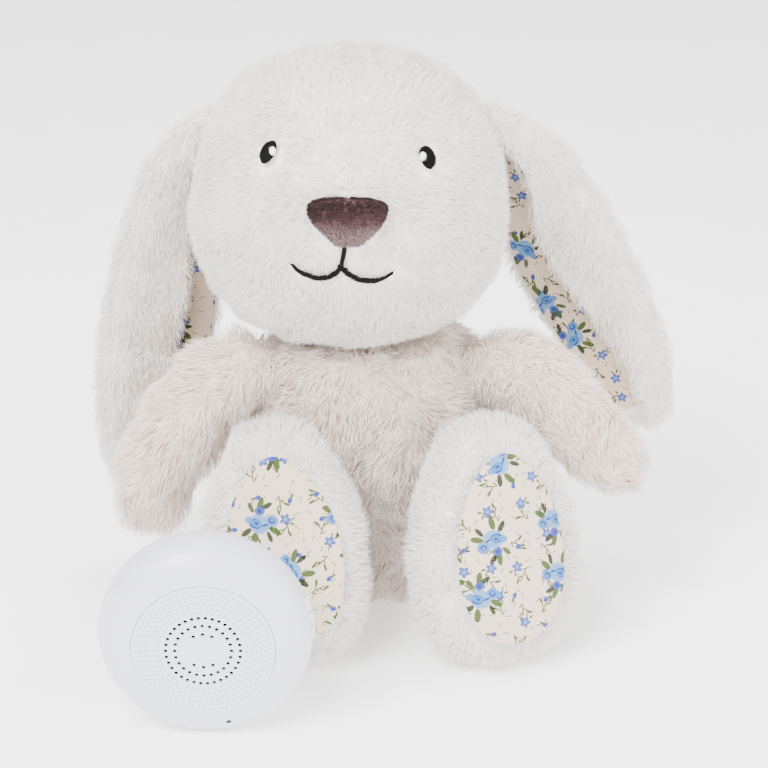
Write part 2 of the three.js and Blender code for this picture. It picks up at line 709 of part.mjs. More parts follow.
function keyHoles() {
  return join(...[0, 1, 2].map((i) => key(i, 0.35)));
}

function keyBoard() {
  const from = MODULE.radius - KEY.depth - 3;
  return block([from, -9, -3], [from + 1.4, 9, 3]).rotate([0, 0, KEY.centre]);
}

function socketHole() {
  const { halfWidth, top, bottom, angle } = SOCKET;
  return block([30, -halfWidth - GAP, bottom - 0.3], [50, halfWidth + GAP, top + 0.3]).rotate([0, 0, angle]);
}

function chargingSocket() {
  const { halfWidth, top, bottom, wall, angle } = SOCKET;
  const shell = block([29, -halfWidth, bottom], [37.5, halfWidth, top]);
  const mouth = block([31, -halfWidth + wall, bottom + 0.7], [60, halfWidth - wall, top - 0.7]);
  return cut(shell, mouth).rotate([0, 0, angle]);
}

function ledHole(grow = 0) {
  return rod([0, 0, 4], [0, 0, 40], LED.radius + grow, 10).translate(LED.x, LED.y, 0);
}

function statusLed() {
  const top = shellProfile(0.2, MODULE.face, 0.3, 7);
  const limit = lathe([...top, [0, MODULE.face], [0, 0.2], top[0]], 44);
  return largestPiece(ledHole().intersect(limit));
}

function screw(angle) {
  const [x, y] = bossPlace(angle);
  const profile = [[0, -11.4], [SCREW.head, -11.4], [SCREW.head, -9.8], [SCREW.shaft, -9.8], [SCREW.shaft, 3.5], [0, 4.2]];
  const slot = block([-2.6, -0.4, -12], [2.6, 0.4, -10.8]);
  return cut(lathe(profile, 10), slot).translate(x, y, 0);
}

// ---------------------------------------------------------------- assembly
const pet = new THREE.Group();

function addPiece(parent, name, manifold, color, roughness = 0.9, metalness = 0) {
  const mesh = new THREE.Mesh(geometryOf(manifold), new THREE.MeshStandardMaterial({ color, roughness, metalness }));
  mesh.name = name;
  parent.add(mesh);
}

function addHead() {
  const sockets = Object.values(EARS).map(earRoom);
  const recesses = [nose(0.4), ...Object.values(EYES).map((place) => eye(place, 0.4)), ...sockets];
  addPiece(pet, 'head_cover', largestPiece(headCover(recesses)), FUR_WHITE);
  addPiece(pet, 'head_stuffing', largestPiece(cut(headStuffing(), nose(0.4), ...sockets)), 0xf4f4f2);
  addPiece(pet, 'nose', nose(), 0x7d6166, 0.85);
  addPiece(pet, 'mouth_embroidery', mouth(), 0x111111, 0.6);
  Object.entries(EYES).forEach(([name, place]) => addPiece(pet, name, eye(place), 0x0c0c0d, 0.4));
}

function addEars() {
  Object.entries(EARS).forEach(([name, ear]) => {
    addPiece(pet, `${name}_cover`, earCover(ear), FUR_WHITE);
    addPiece(pet, `${name}_lining`, earLining(ear), FLORAL);
  });
}

function addLimbs() {
  Object.entries(ARMS).forEach(([name, arm]) => {
    addPiece(pet, `${name}_cover`, armCover(arm), FUR_CREAM);
    addPiece(pet, `${name}_stuffing`, armStuffing(arm), 0xf4f4f2);
  });
  Object.entries(LEGS).forEach(([name, leg]) => {
    addPiece(pet, `${name}_cover`, legCover(leg), FUR_WHITE);
    addPiece(pet, `${name}_stuffing`, legStuffing(leg), 0xf4f4f2);
    addPiece(pet, `${name}_sole`, sole(leg), FLORAL);
  });
}

function addTorso() {
  addPiece(pet, 'torso_cover', torsoCover(limbRoom(SWING)), FUR_CREAM);
  addPiece(pet, 'torso_stuffing', torsoStuffing(limbRoom(SWING + 0.4)), 0xf4f4f2);
  addPiece(pet, 'bead_bag', beadBag(), 0xd8d4c8, 0.8);
  addPiece(pet, 'pocket_liner', pocketLiner(), 0xeeeae4);
  addPiece(pet, 'pocket_flap', pocketFlap(), FUR_CREAM);
  addTapes();
  addPiece(pet, 'tail', tail(), FUR_WHITE);
  addPiece(pet, 'care_label', careLabel(), 0xffffff, 0.7);
}

function addModule() {
  const unit = new THREE.Group();
  unit.position.set(MODULE.x, MODULE.y, MODULE.radius);
  unit.rotation.x = Math.PI / 2 + THREE.MathUtils.degToRad(MODULE.lean);
  pet.add(unit);
  addPiece(unit, 'module_front_housing', frontHousing(), 0xe6e8ee, 0.35);
  addPiece(unit, 'module_rear_housing', rearHousing(), 0xe6e8ee, 0.35);
  addPiece(unit, 'module_grille', grille(), 0xe4e6ec, 0.4);
  addPiece(unit, 'sound_cloth', soundCloth(), 0x101012, 0.95);
  addPiece(unit, 'speaker_basket', speakerBasket(), 0x8c8f92, 0.4, 0.9);
  addPiece(unit, 'speaker_cone', speakerCone(), 0x1c1c1e, 0.8);
  addPiece(unit, 'speaker_magnet', speakerMagnet(), 0x55585c, 0.4, 0.9);
  addPiece(unit, 'circuit_board', circuitBoard(), 0x1e5b34, 0.5);
  addPiece(unit, 'key_board', keyBoard(), 0x1e5b34, 0.5);
  addPiece(unit, 'battery', battery(), 0x9fa6ad, 0.5);
  addPiece(unit, 'charging_socket', chargingSocket(), 0xb9bcc0, 0.3, 0.9);
  addPiece(unit, 'status_led', statusLed(), 0x18181a, 0.3);
  ['volume_down_key', 'play_key', 'volume_up_key'].forEach((name, i) => addPiece(unit, name, key(i), 0xf0f1f5, 0.3));
  SCREW.angles.forEach((angle, i) => addPiece(unit, `housing_screw_${i + 1}`, screw(angle), 0xa8abb0, 0.3, 0.9));
}

addHead();
addEars();
addLimbs();
addTorso();
addModule();

// The origin is at the middle of the footprint, on the surface that the pet sits on.
pet.updateMatrixWorld(true);
const reach = new THREE.Box3().setFromObject(pet, true);
pet.position.set(-(reach.min.x + reach.max.x) / 2, -(reach.min.y + reach.max.y) / 2, -reach.min.z);

export default pet;
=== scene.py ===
import json
import math
from contextlib import contextmanager

import bmesh
import bpy
import numpy as np
from mathutils import Matrix, Vector
from mathutils.bvhtree import BVHTree
from mathutils.geometry import delaunay_2d_cdt
from mathutils.kdtree import KDTree


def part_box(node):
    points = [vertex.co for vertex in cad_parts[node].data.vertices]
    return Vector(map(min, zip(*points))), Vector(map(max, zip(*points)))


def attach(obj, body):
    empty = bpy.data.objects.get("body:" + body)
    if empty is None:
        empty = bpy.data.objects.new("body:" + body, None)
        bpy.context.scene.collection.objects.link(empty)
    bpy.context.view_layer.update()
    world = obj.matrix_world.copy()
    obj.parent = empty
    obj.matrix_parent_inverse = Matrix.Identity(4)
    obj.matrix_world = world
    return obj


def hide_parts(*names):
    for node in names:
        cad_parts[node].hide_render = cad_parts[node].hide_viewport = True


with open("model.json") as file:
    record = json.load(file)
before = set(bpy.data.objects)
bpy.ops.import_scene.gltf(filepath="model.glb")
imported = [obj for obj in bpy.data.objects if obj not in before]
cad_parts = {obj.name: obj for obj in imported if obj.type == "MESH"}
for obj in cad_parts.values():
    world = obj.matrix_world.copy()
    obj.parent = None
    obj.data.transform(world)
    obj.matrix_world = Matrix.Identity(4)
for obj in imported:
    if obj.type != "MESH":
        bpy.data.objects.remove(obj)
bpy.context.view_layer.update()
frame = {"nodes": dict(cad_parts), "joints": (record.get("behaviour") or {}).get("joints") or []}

# An interactive plush rabbit and its round sound module. Lengths are in metres.
MM = 0.001
FLOOR_CLEARANCE = 0.25 * MM

# ---------------------------------------------------------------- driving values
CAMERA = {"place": (-0.0003, -0.8893, 0.425), "pitch": 19.7, "lens": 108.6}
# Each lamp: its place, its size and its power. All of them face the same place.
LIGHTS = {
    "key": ((-0.7, -1.1, 1.4), 1.1, 84),
    "fill": ((1.2, -0.9, 0.7), 1.4, 34),
    "top": ((0.1, 0.5, 1.5), 1.0, 18),
}
LIT = Vector((0, 0, 0.1))
SKY_STRENGTH = 1.45
FLOOR_GLOW = 0.8
FLOOR_HALF = 6

# Each coat of fur, in millimetres and degrees: how long and wide a strand is, its lean from the surface's
# normal, strands per square millimetre, and how far the skin is set in under it.
COATS = {
    "head": {"length": 6.8, "half_width": 0.17, "lean": 50, "density": 1.35, "inset": 2.2},
    "torso": {"length": 11.0, "half_width": 0.19, "lean": 60, "density": 1.2, "inset": 3.4},
    "arm": {"length": 10.5, "half_width": 0.19, "lean": 56, "density": 1.25, "inset": 2.0},
    "leg": {"length": 7.6, "half_width": 0.17, "lean": 45, "density": 1.25, "inset": 1.6},
    "ear": {"length": 6.8, "half_width": 0.17, "lean": 55, "density": 1.25, "inset": 1.6},
    "flap": {"length": 8.0, "half_width": 0.19, "lean": 60, "density": 1.2},
    "tail": {"length": 8.5, "half_width": 0.19, "lean": 25, "density": 1.8, "inset": 4.0},
    "nose": {"length": 2.3, "half_width": 0.15, "lean": 62, "density": 7.0, "inset": 0.5},
}
ROOT_DEPTH = 0.5 * MM
FUR_PIECE_STRANDS = 20000
BARE = 0.12              # strands shorter than this share of their coat are left out

# Colours as a screen shows them, from 0 to 255.
# The root tints are a little darker than the tip tints: painted shade where the strands shadow each other
# near the skin.
WHITE_TIPS = [(255, 249, 243), (254, 246, 239), (250, 242, 235)]
WHITE_ROOTS_PAINTED_SHADE = [(252, 244, 236), (246, 237, 228)]
CREAM_TIPS = [(255, 243, 233), (255, 239, 228), (251, 232, 220)]
CREAM_ROOTS_PAINTED_SHADE = [(254, 238, 227), (247, 226, 212)]
MAUVE_TOP = [(68, 50, 51), (54, 39, 40), (40, 28, 29)]
MAUVE_LOW = [(124, 103, 104), (108, 88, 89), (88, 70, 71)]
COTTON = (216, 196, 174)
COTTON_LIGHT = (224, 206, 186)
# Multiplied into the cotton in the valleys of its weave as painted shade.
COTTON_PAINTED_SHADE = (190, 182, 170)
COTTON_THREAD = 0.42     # millimetres


def linear(colour, alpha=1.0):
    shares = [value / 255 for value in colour]
    return [s / 12.92 if s <= 0.04045 else ((s + 0.055) / 1.055) ** 2.4 for s in shares] + [alpha]


# ---------------------------------------------------------------- mesh helpers
def add_object(name, verts, faces):
    mesh = bpy.data.meshes.new(name)
    mesh.from_pydata([tuple(v) for v in verts], [], [tuple(int(i) for i in f) for f in faces])
    mesh.shade_smooth()
    return link(name, mesh)


def link(name, mesh):
    obj = bpy.data.objects.new(name, mesh)
    bpy.context.scene.collection.objects.link(obj)
    return obj


def coords(mesh):
    flat = np.empty(len(mesh.vertices) * 3)
    mesh.vertices.foreach_get("co", flat)
    return flat.reshape(-1, 3)


def set_coords(mesh, points):
    mesh.vertices.foreach_set("co", np.asarray(points, np.float32).ravel())
    mesh.update()


def normals(mesh):
    flat = np.empty(len(mesh.vertices) * 3, np.float32)
    mesh.vertex_normals.foreach_get("vector", flat)
    return flat.reshape(-1, 3).astype(float)


def unit(vectors):
    return vectors / np.maximum(np.linalg.norm(vectors, axis=-1, keepdims=True), 1e-12)


def baked(obj):
    """The object with its modifiers applied."""
    bpy.context.view_layer.update()
    evaluated = obj.evaluated_get(bpy.context.evaluated_depsgraph_get())
    mesh = bpy.data.meshes.new_from_object(evaluated)
    obj.modifiers.clear()
    obj.data = mesh
    return obj


def object_from(name, bm):
    """A new object with an open mesh, which is closed."""
    mesh = bpy.data.meshes.new(name)
    bm.to_mesh(mesh)
    bm.free()
    return link(name, mesh)


@contextmanager
def opened(mesh):
    """A mesh open for editing, written back at the end."""
    bm = bmesh.new()
    bm.from_mesh(mesh)
    yield bm
    bm.to_mesh(mesh)
    bm.free()


def face_out(obj):
    with opened(obj.data) as bm:
        bmesh.ops.recalc_face_normals(bm, faces=bm.faces)


def around(sides):
    return [2 * math.pi * i / sides for i in range(sides)]


def band(start, sides):
    """The faces between a ring of points and the ring that follows it."""
    following = [(i + 1) % sides for i in range(sides)]
    return [(start + i, start + j, start + sides + j, start + sides + i) for i, j in enumerate(following)]


def tree_of(mesh):
    return BVHTree.FromPolygons([v.co for v in mesh.vertices], [p.vertices for p in mesh.polygons])


def joined(name, nodes):
    """One object with the meshes of several CAD nodes."""
    bm = bmesh.new()
    for node in nodes:
        bm.from_mesh(frame["nodes"][node].data)
    return object_from(name, bm)


def hull(name, node):
    """The closed convex form round a CAD node, without its sockets and openings."""
    bm = bmesh.new()
    bm.from_mesh(frame["nodes"][node].data)
    found = bmesh.ops.convex_hull(bm, input=bm.verts, use_existing_faces=False)
    left_over = found["geom_interior"] + found["geom_unused"]
    inside = [e for e in left_over if isinstance(e, bmesh.types.BMVert)]
    bmesh.ops.delete(bm, geom=list(set(inside)), context="VERTS")
    outer = {e for e in found["geom"] if isinstance(e, bmesh.types.BMFace)}
    rest = [f for f in bm.faces if f not in outer]
    bmesh.ops.delete(bm, geom=rest, context="FACES_ONLY")
    return object_from(name, bm)


def remeshed(obj, voxel):
    """One closed skin of small even faces round everything in the object."""
    remesh = obj.modifiers.new("skin", "REMESH")
    remesh.mode = "VOXEL"
    remesh.voxel_size = voxel
    baked(obj)
    keep_outer(obj)
    obj.data.shade_smooth()
    return obj


def keep_outer(obj):
    """Deletes every separate shell but the largest one."""
    with opened(obj.data) as bm:
        left = set(bm.verts)
        shells = []
        while left:
            start = left.pop()
            shell, open_ends = {start}, [start]
            while open_ends:
                for edge in open_ends.pop().link_edges:
                    for vert in edge.verts:
                        if vert not in shell:
                            shell.add(vert)
                            open_ends.append(vert)
            left -= shell
            shells.append(shell)
        largest = max(shells, key=len)
        bmesh.ops.delete(bm, geom=[v for v in bm.verts if v not in largest], context="VERTS")


def relax(obj, rounds, share=0.5):
    """Smooths the skin without shrinking it much: each round moves in, then back out."""
    mesh = obj.data
    edges = np.empty(len(mesh.edges) * 2, np.int64)
    mesh.edges.foreach_get("vertices", edges)
    a, b = edges.reshape(-1, 2).T
    count = np.bincount(np.concatenate([a, b]), minlength=len(mesh.vertices))[:, None]
    points = coords(mesh)
    for _ in range(rounds):
        for step in (share, -share * 1.04):
            total = np.zeros_like(points)
            np.add.at(total, a, points[b])
            np.add.at(total, b, points[a])
            points = points + step * (total / count - points)
    set_coords(mesh, points)
    return obj


def subdivided(obj):
    divide = obj.modifiers.new("fine", "SUBSURF")
    divide.levels = divide.render_levels = 1
    baked(obj)
    obj.data.shade_smooth()
    return obj


def ripple(points, wavelength, seed, waves=7):
    """Smooth noise from -1 to 1, for each point, with features about one wavelength long."""
    rng = np.random.default_rng(seed)
    directions = unit(rng.normal(size=(waves, 3)))
    pitch = 2 * math.pi / (wavelength * rng.uniform(0.7, 1.6, waves))
    phase = rng.uniform(0, 2 * math.pi, waves)
    return np.sin(points @ directions.T * pitch + phase).sum(1) / math.sqrt(waves) / 1.2


def inflate(obj, cap, pressure=4.0, frames=20):
    """Lets the stuffing press the skin out as cloth, and no point further than the cap."""
    scene = bpy.context.scene
    rest = coords(obj.data)
    cloth = obj.modifiers.new("stuffing", "CLOTH")
    settings = cloth.settings
    settings.quality = 4
    settings.mass = 0.3
    settings.use_pressure = True
    settings.uniform_pressure_force = pressure
    settings.bending_stiffness = 0.4
    settings.effector_weights.gravity = 0
    cloth.point_cache.frame_start = 1
    cloth.point_cache.frame_end = frames
    for number in range(1, frames + 1):
        scene.frame_set(number)
    baked(obj)
    moved = coords(obj.data) - rest
    far = np.linalg.norm(moved, axis=1, keepdims=True)
    set_coords(obj.data, rest + moved * np.minimum(1, cap / np.maximum(far, 1e-9)))
    scene.frame_set(1)
    return obj


def stuffed(obj, coat, voxel=4 * MM, lumps=0.7 * MM, cap=2 * MM, keep=None, seed=0):
    """A stuffed plush skin: remeshed, set in by the height of its fur, pressed out by its stuffing."""
    remeshed(obj, voxel)
    relax(obj, 8)
    points, outward = coords(obj.data), normals(obj.data)
    inset = np.full(len(points), COATS[coat]["inset"] * MM + cap)
    if keep is not None:
        inset = inset * (1 - keep(points)) + cap * keep(points)
    points = points - outward * inset[:, None]
    points += outward * (ripple(points, 32 * MM, seed) * lumps)[:, None]
    set_coords(obj.data, points)
    inflate(obj, cap)
    relax(obj, 2)
    return subdivided(obj)


# ---------------------------------------------------------------- materials
def set_inputs(node, inputs):
    """An input that is given a socket is linked to it, and any other input takes its value."""
    for name, value in inputs.items():
        if isinstance(value, bpy.types.NodeSocket):
            node.id_data.links.new(value, node.inputs[name])
        else:
            node.inputs[name].default_value = value


def add_node(tree, kind, inputs, **settings):
    node = tree.nodes.new(f"ShaderNode{kind}")
    for setting, value in settings.items():
        setattr(node, setting, value)
    set_inputs(node, inputs)
    return node


def shader(name):
    material = bpy.data.materials.new(name)
    material.use_nodes = True
    return material, material.node_tree, material.node_tree.nodes["Principled BSDF"]


def plain(name, colour, sheen, specular):
    """One tint of a coat of fur. A coat is a mix of several, strand by strand and from root to tip; the
    darker root tints are painted shade.
    """
    material, _, bsdf = shader(name)
    set_inputs(bsdf, {
        "Base Color": linear(colour), "Roughness": 0.85, "Sheen Weight": sheen, "Sheen Roughness": 0.5,
        "Specular IOR Level": specular,
    })
    return material


def object_place(tree):
    return tree.nodes.new("ShaderNodeTexCoord").outputs["Object"]


def noise(tree, scale, detail, place):
    return add_node(tree, "TexNoise", {"Scale": scale, "Detail": detail, "Vector": place}).outputs["Fac"]


def two_tone(tree, factor, low, high):
    ramp = add_node(tree, "ValToRGB", {"Fac": factor})
    for element, place, colour in zip(ramp.color_ramp.elements, (0.35, 0.65), (low, high)):
        element.position = place
        element.color = linear(colour)
    return ramp.outputs["Color"]


def bump(tree, bsdf, height, strength, distance):
    node = add_node(tree, "Bump", {"Strength": strength, "Distance": distance, "Height": height})
    set_inputs(bsdf, {"Normal": node.outputs["Normal"]})


def speckled(name, low, high, scale, roughness, grain, bump_strength=0.3, specular=0.5):
    """A surface with two close tones in fine noise, and the same noise as its grain."""
    material, tree, bsdf = shader(name)
    factor = noise(tree, scale, 3, object_place(tree))
    colour = two_tone(tree, factor, low, high)
    set_inputs(bsdf, {"Base Color": colour, "Roughness": roughness, "Specular IOR Level": specular})
    bump(tree, bsdf, factor, bump_strength, grain)
    return material


def plastic(name, low, high, roughness):
    return speckled(name, low, high, 900, roughness, 0.01 * MM, bump_strength=0.1)


def brushed(name, low, high, roughness=0.35):
    """Turned or drawn metal: noise stretched along one direction."""
    material, tree, bsdf = shader(name)
    stretch = add_node(tree, "Mapping", {"Scale": (1, 40, 1), "Vector": object_place(tree)})
    factor = noise(tree, 300, 4, stretch.outputs["Vector"])
    set_inputs(bsdf, {"Base Color": two_tone(tree, factor, low, high), "Roughness": roughness, "Metallic": 1})
    bump(tree, bsdf, factor, 0.2, 0.05 * MM)
    return material


def woven(name, low, high, thread, roughness=0.85):
    """Plain-woven cloth: threads along X crossed by threads along Z and Y."""
    material, tree, bsdf = shader(name)
    place = object_place(tree)
    x, z, y = waves(tree, place, thread, "XZY")
    height = maths(tree, "MULTIPLY", x, maths(tree, "ADD", z, y))
    colour = two_tone(tree, noise(tree, 120, 3, place), low, high)
    set_inputs(bsdf, {"Base Color": colour, "Roughness": roughness, "Sheen Weight": 0.2})
    bump(tree, bsdf, height, 0.5, 0.12 * MM)
    return material


def waves(tree, place, pitch, axes):
    """A sine wave of one pitch along each axis of a place."""
    split = add_node(tree, "SeparateXYZ", {"Vector": place})
    turns = [maths(tree, "MULTIPLY", split.outputs[axis], 2 * math.pi / pitch) for axis in axes]
    return [maths(tree, "SINE", turn) for turn in turns]


def maths(tree, operation, *values):
    return add_node(tree, "Math", dict(enumerate(values)), operation=operation).outputs[0]


def vector_maths(tree, operation, *values):
    node = add_node(tree, "VectorMath", dict(enumerate(values)), operation=operation)
    return node.outputs["Value" if operation == "LENGTH" else "Vector"]


def mixed(tree, share, colour, other, blend="MIX"):
    """A share of another colour, given from 0 to 255, over a colour."""
    inputs = {"Factor": share, 6: colour, 7: linear(other)}
    return add_node(tree, "Mix", inputs, data_type="RGBA", blend_type=blend).outputs[2]


# ---------------------------------------------------------------- printed cotton
# The print is drawn in millimetres of cloth: clusters of roses, small flowers, twigs and specks.
ROSE_BLUE = (74, 124, 180)
ROSE_DEEP = (26, 62, 138)
PERIWINKLE = (62, 74, 150)
SKY = (96, 144, 190)
LEAF = (52, 78, 22)
LEAF_DARK = (22, 38, 10)
OLIVE = (58, 70, 26)

# Each blot is (colour, x, y, half length, half width, turn in degrees).
ROSE_CLUSTER = [
    (LEAF, -5.4, 5.2, 2.9, 1.2, 120), (LEAF_DARK, -3.2, 6.4, 2.5, 1.0, 75), (LEAF, 6.2, 2.2, 2.7, 1.2, 15),
    (LEAF_DARK, 6.6, -0.9, 2.3, 0.9, -20), (LEAF, 3.2, -6.3, 2.8, 1.25, -50),
    (LEAF_DARK, -1.0, -6.6, 2.5, 1.1, -95), (LEAF, -7.0, 1.4, 2.2, 0.9, 165),
    (SKY, 0.0, -0.6, 4.3, 3.7, 20), (ROSE_DEEP, -1.0, -1.6, 2.6, 1.9, 30),
    (ROSE_BLUE, -0.8, -1.3, 2.0, 1.35, 30), (ROSE_DEEP, -0.9, -1.2, 0.9, 0.6, 30),
    (ROSE_DEEP, 2.0, 1.0, 1.5, 0.45, 60), (ROSE_BLUE, -3.9, -2.6, 1.7, 1.4, 0),
    (ROSE_BLUE, 2.6, 4.2, 2.5, 2.2, 10), (ROSE_DEEP, 2.5, 4.0, 1.4, 1.1, 10), (SKY, 2.4, 4.2, 0.7, 0.5, 10),
    (PERIWINKLE, -3.6, 3.1, 2.1, 1.7, 40), (ROSE_DEEP, -3.6, 3.0, 1.0, 0.8, 40),
]
SMALL_FLOWER = [(PERIWINKLE, 1.25 * math.cos(a), 1.25 * math.sin(a), 1.15, 0.75, math.degrees(a))
                for a in around(5)]
SMALL_FLOWER += [(SKY, 0, 0, 0.8, 0.8, 0), (LEAF, 2.9, -1.5, 1.0, 0.42, -30),
                 (LEAF_DARK, 3.0, 0.6, 0.8, 0.32, 40)]
BUD = [(PERIWINKLE, 0, 0.9, 1.3, 0.95, 80), (ROSE_DEEP, 0.2, 1.3, 0.6, 0.45, 80),
       (LEAF, -0.6, -1.0, 1.1, 0.45, 70), (OLIVE, 0.3, -2.2, 1.5, 0.2, 95)]
TWIG = [(OLIVE, 0, 0, 3.4, 0.27, 60), (OLIVE, -1.5, 0.3, 1.5, 0.27, 115), (OLIVE, 1.3, 0.6, 1.5, 0.27, 15),
        (OLIVE, -0.4, -2.4, 1.3, 0.27, 20), (LEAF, 2.3, 2.3, 1.3, 0.5, 70), (LEAF, -2.2, 1.7, 1.3, 0.5, 130)]
SPECKS = [(OLIVE, 0, 0, 0.65, 0.22, 30), (LEAF_DARK, 0.9, 0.8, 0.45, 0.2, 100)]

# Each layer of the print: blots, spacing in millimetres, scatter, the first and last share of the cells that
# it takes, and an offset that sets it apart from the others.
PRINT_LAYERS = [
    (SPECKS, 5.5, 0.8, 0.0, 0.75, 3.0), (TWIG, 12.5, 0.45, 0.0, 0.85, 11.0),
    (BUD, 11.5, 0.5, 0.0, 0.45, 41.0), (SMALL_FLOWER, 11.5, 0.5, 0.45, 1.0, 41.0),
    (ROSE_CLUSTER, 27.0, 0.5, 0.0, 1.0, 7.0),
]


def print_layer(tree, cloth, colour, layer):
    """Paints one layer of motifs over a colour. Each motif sits in its own cell, at its own angle."""
    blots, spacing, scatter, first, last, offset = layer
    shift = vector_maths(tree, "ADD", cloth, (offset, offset * 0.6, 0))
    inputs = {"Scale": 1 / spacing, "Randomness": scatter, "Vector": shift}
    cells = add_node(tree, "TexVoronoi", inputs, voronoi_dimensions="2D")
    middle = vector_maths(tree, "SUBTRACT", shift, cells.outputs["Position"])
    draw = add_node(tree, "SeparateColor", {"Color": cells.outputs["Color"]})
    turn = maths(tree, "MULTIPLY", draw.outputs["Red"], 2 * math.pi)
    turned = add_node(tree, "VectorRotate", {"Vector": middle, "Angle": turn}, rotation_type="Z_AXIS")
    after = maths(tree, "GREATER_THAN", draw.outputs["Green"], first - 0.001)
    before = maths(tree, "LESS_THAN", draw.outputs["Green"], last)
    chosen = maths(tree, "MULTIPLY", after, before)
    ragged = noise(tree, 2.6, 2, cloth)
    edge = maths(tree, "MULTIPLY_ADD", ragged, 0.5, 0.75)
    for tint, x, y, length, width, angle in blots:
        place = add_node(tree, "Mapping", {
            "Vector": turned.outputs["Vector"], "Location": (x, y, 0),
            "Rotation": (0, 0, math.radians(angle)), "Scale": (length, width, 1),
        }, vector_type="TEXTURE")
        away = vector_maths(tree, "LENGTH", place.outputs["Vector"])
        inside = maths(tree, "MULTIPLY", maths(tree, "LESS_THAN", away, edge), chosen)
        share = maths(tree, "MULTIPLY", inside, maths(tree, "MULTIPLY_ADD", ragged, 0.4, 0.75))
        colour = mixed(tree, share, colour, tint)
    return colour


def satin_thread(name, low, high, roughness=0.5):
    """Glossy embroidery thread: fine twist along every stitch."""
    material, tree, bsdf = shader(name)
    factor = noise(tree, 2400, 2, object_place(tree))
    colour = two_tone(tree, factor, low, high)
    set_inputs(bsdf, {"Base Color": colour, "Roughness": roughness, "Specular IOR Level": 0.08})
    bump(tree, bsdf, factor, 0.4, 0.05 * MM)
    return material


def printed_cotton():
    """The print over its ground, with painted shade in the valleys between its threads."""
    material, tree, bsdf = shader("printed_cotton")
    place = add_node(tree, "UVMap", {}, uv_map="cloth").outputs["UV"]
    colour = two_tone(tree, noise(tree, 0.9, 4, place), COTTON, COTTON_LIGHT)
    for layer in PRINT_LAYERS:
        colour = print_layer(tree, place, colour, layer)
    height = maths(tree, "MULTIPLY", *waves(tree, place, COTTON_THREAD, "XY"))
    # Painted shade: the colour is multiplied darker in the valleys between the threads.
    share = maths(tree, "MULTIPLY_ADD", height, 0.09, 0.09)
    set_inputs(bsdf, {
        "Base Color": mixed(tree, share, colour, COTTON_PAINTED_SHADE, "MULTIPLY"), "Roughness": 0.9,
        "Sheen Weight": 0.1, "Specular IOR Level": 0.2,
    })
    bump(tree, bsdf, height, 0.5, 0.1 * MM)
    return material


# ---------------------------------------------------------------- fur
def coat_materials(name, roots, tips, sheen=0.35, specular=0.3):
    # Root tints darker than the tip tints are painted shade near the skin.
    made = [plain(f"{name}_root_{i}", c, sheen * 0.6, specular) for i, c in enumerate(roots)]
    made += [plain(f"{name}_tip_{i}", c, sheen, specular) for i, c in enumerate(tips)]
    return made, len(roots), len(tips)


def roots_on(mesh, density, rng):
    """Random places on a surface, with the normal at each."""
    mesh.calc_loop_triangles()
    corners = np.empty(len(mesh.loop_triangles) * 3, np.int64)
    mesh.loop_triangles.foreach_get("vertices", corners)
    corners = corners.reshape(-1, 3)
    points, outward = coords(mesh), normals(mesh)
    a, b, c = points[corners[:, 0]], points[corners[:, 1]], points[corners[:, 2]]
    area = np.linalg.norm(np.cross(b - a, c - a), axis=1) / 2
    count = int(area.sum() / MM ** 2 * density)
    chosen = np.searchsorted(np.cumsum(area), rng.uniform(0, area.sum(), count))
    chosen = np.minimum(chosen, len(area) - 1)
    u, v = rng.uniform(size=(2, count, 1))
    flip = u + v > 1
    u, v = np.where(flip, 1 - u, u), np.where(flip, 1 - v, v)
    w = 1 - u - v
    place = w * a[chosen] + u * b[chosen] + v * c[chosen]
    n = [outward[corners[chosen, k]] for k in range(3)]
    return place, unit(w * n[0] + u * n[1] + v * n[2])


def turned_about(vectors, axes, angles):
    c, s = np.cos(angles)[:, None], np.sin(angles)[:, None]
    along = (vectors * axes).sum(1, keepdims=True)
    return vectors * c + np.cross(axes, vectors) * s + axes * along * (1 - c)


def combed(place, outward, towards, swirl, jitter, rng, seed):
    """The way each strand lies along the surface: combed one way, with lazy swirls and a little disorder."""
    flat = towards - outward * (towards * outward).sum(1, keepdims=True)
    flat = unit(flat + unit(np.cross(outward, [0.3, 0.2, 0.9])) * 1e-3)
    angle = swirl * ripple(place, 26 * MM, seed + 1) + 0.6 * swirl * ripple(place, 9 * MM, seed + 2)
    return turned_about(flat, outward, angle + rng.normal(0, jitter, len(place)))


def clumped(place, tips, strength, rng, size=30):
    """Draws the tips of near strands together, so that the pile breaks into locks."""
    chosen = rng.choice(len(place), max(len(place) // size, 1), replace=False)
    tree = KDTree(len(chosen))
    for i, k in enumerate(chosen):
        tree.insert(place[k], i)
    tree.balance()
    near = np.array([tree.find(p)[1] for p in place])
    lock = chosen[near]
    pull = strength * rng.uniform(0.4, 1, (len(place), 1))
    return near, tips + (tips[lock] - tips) * pull


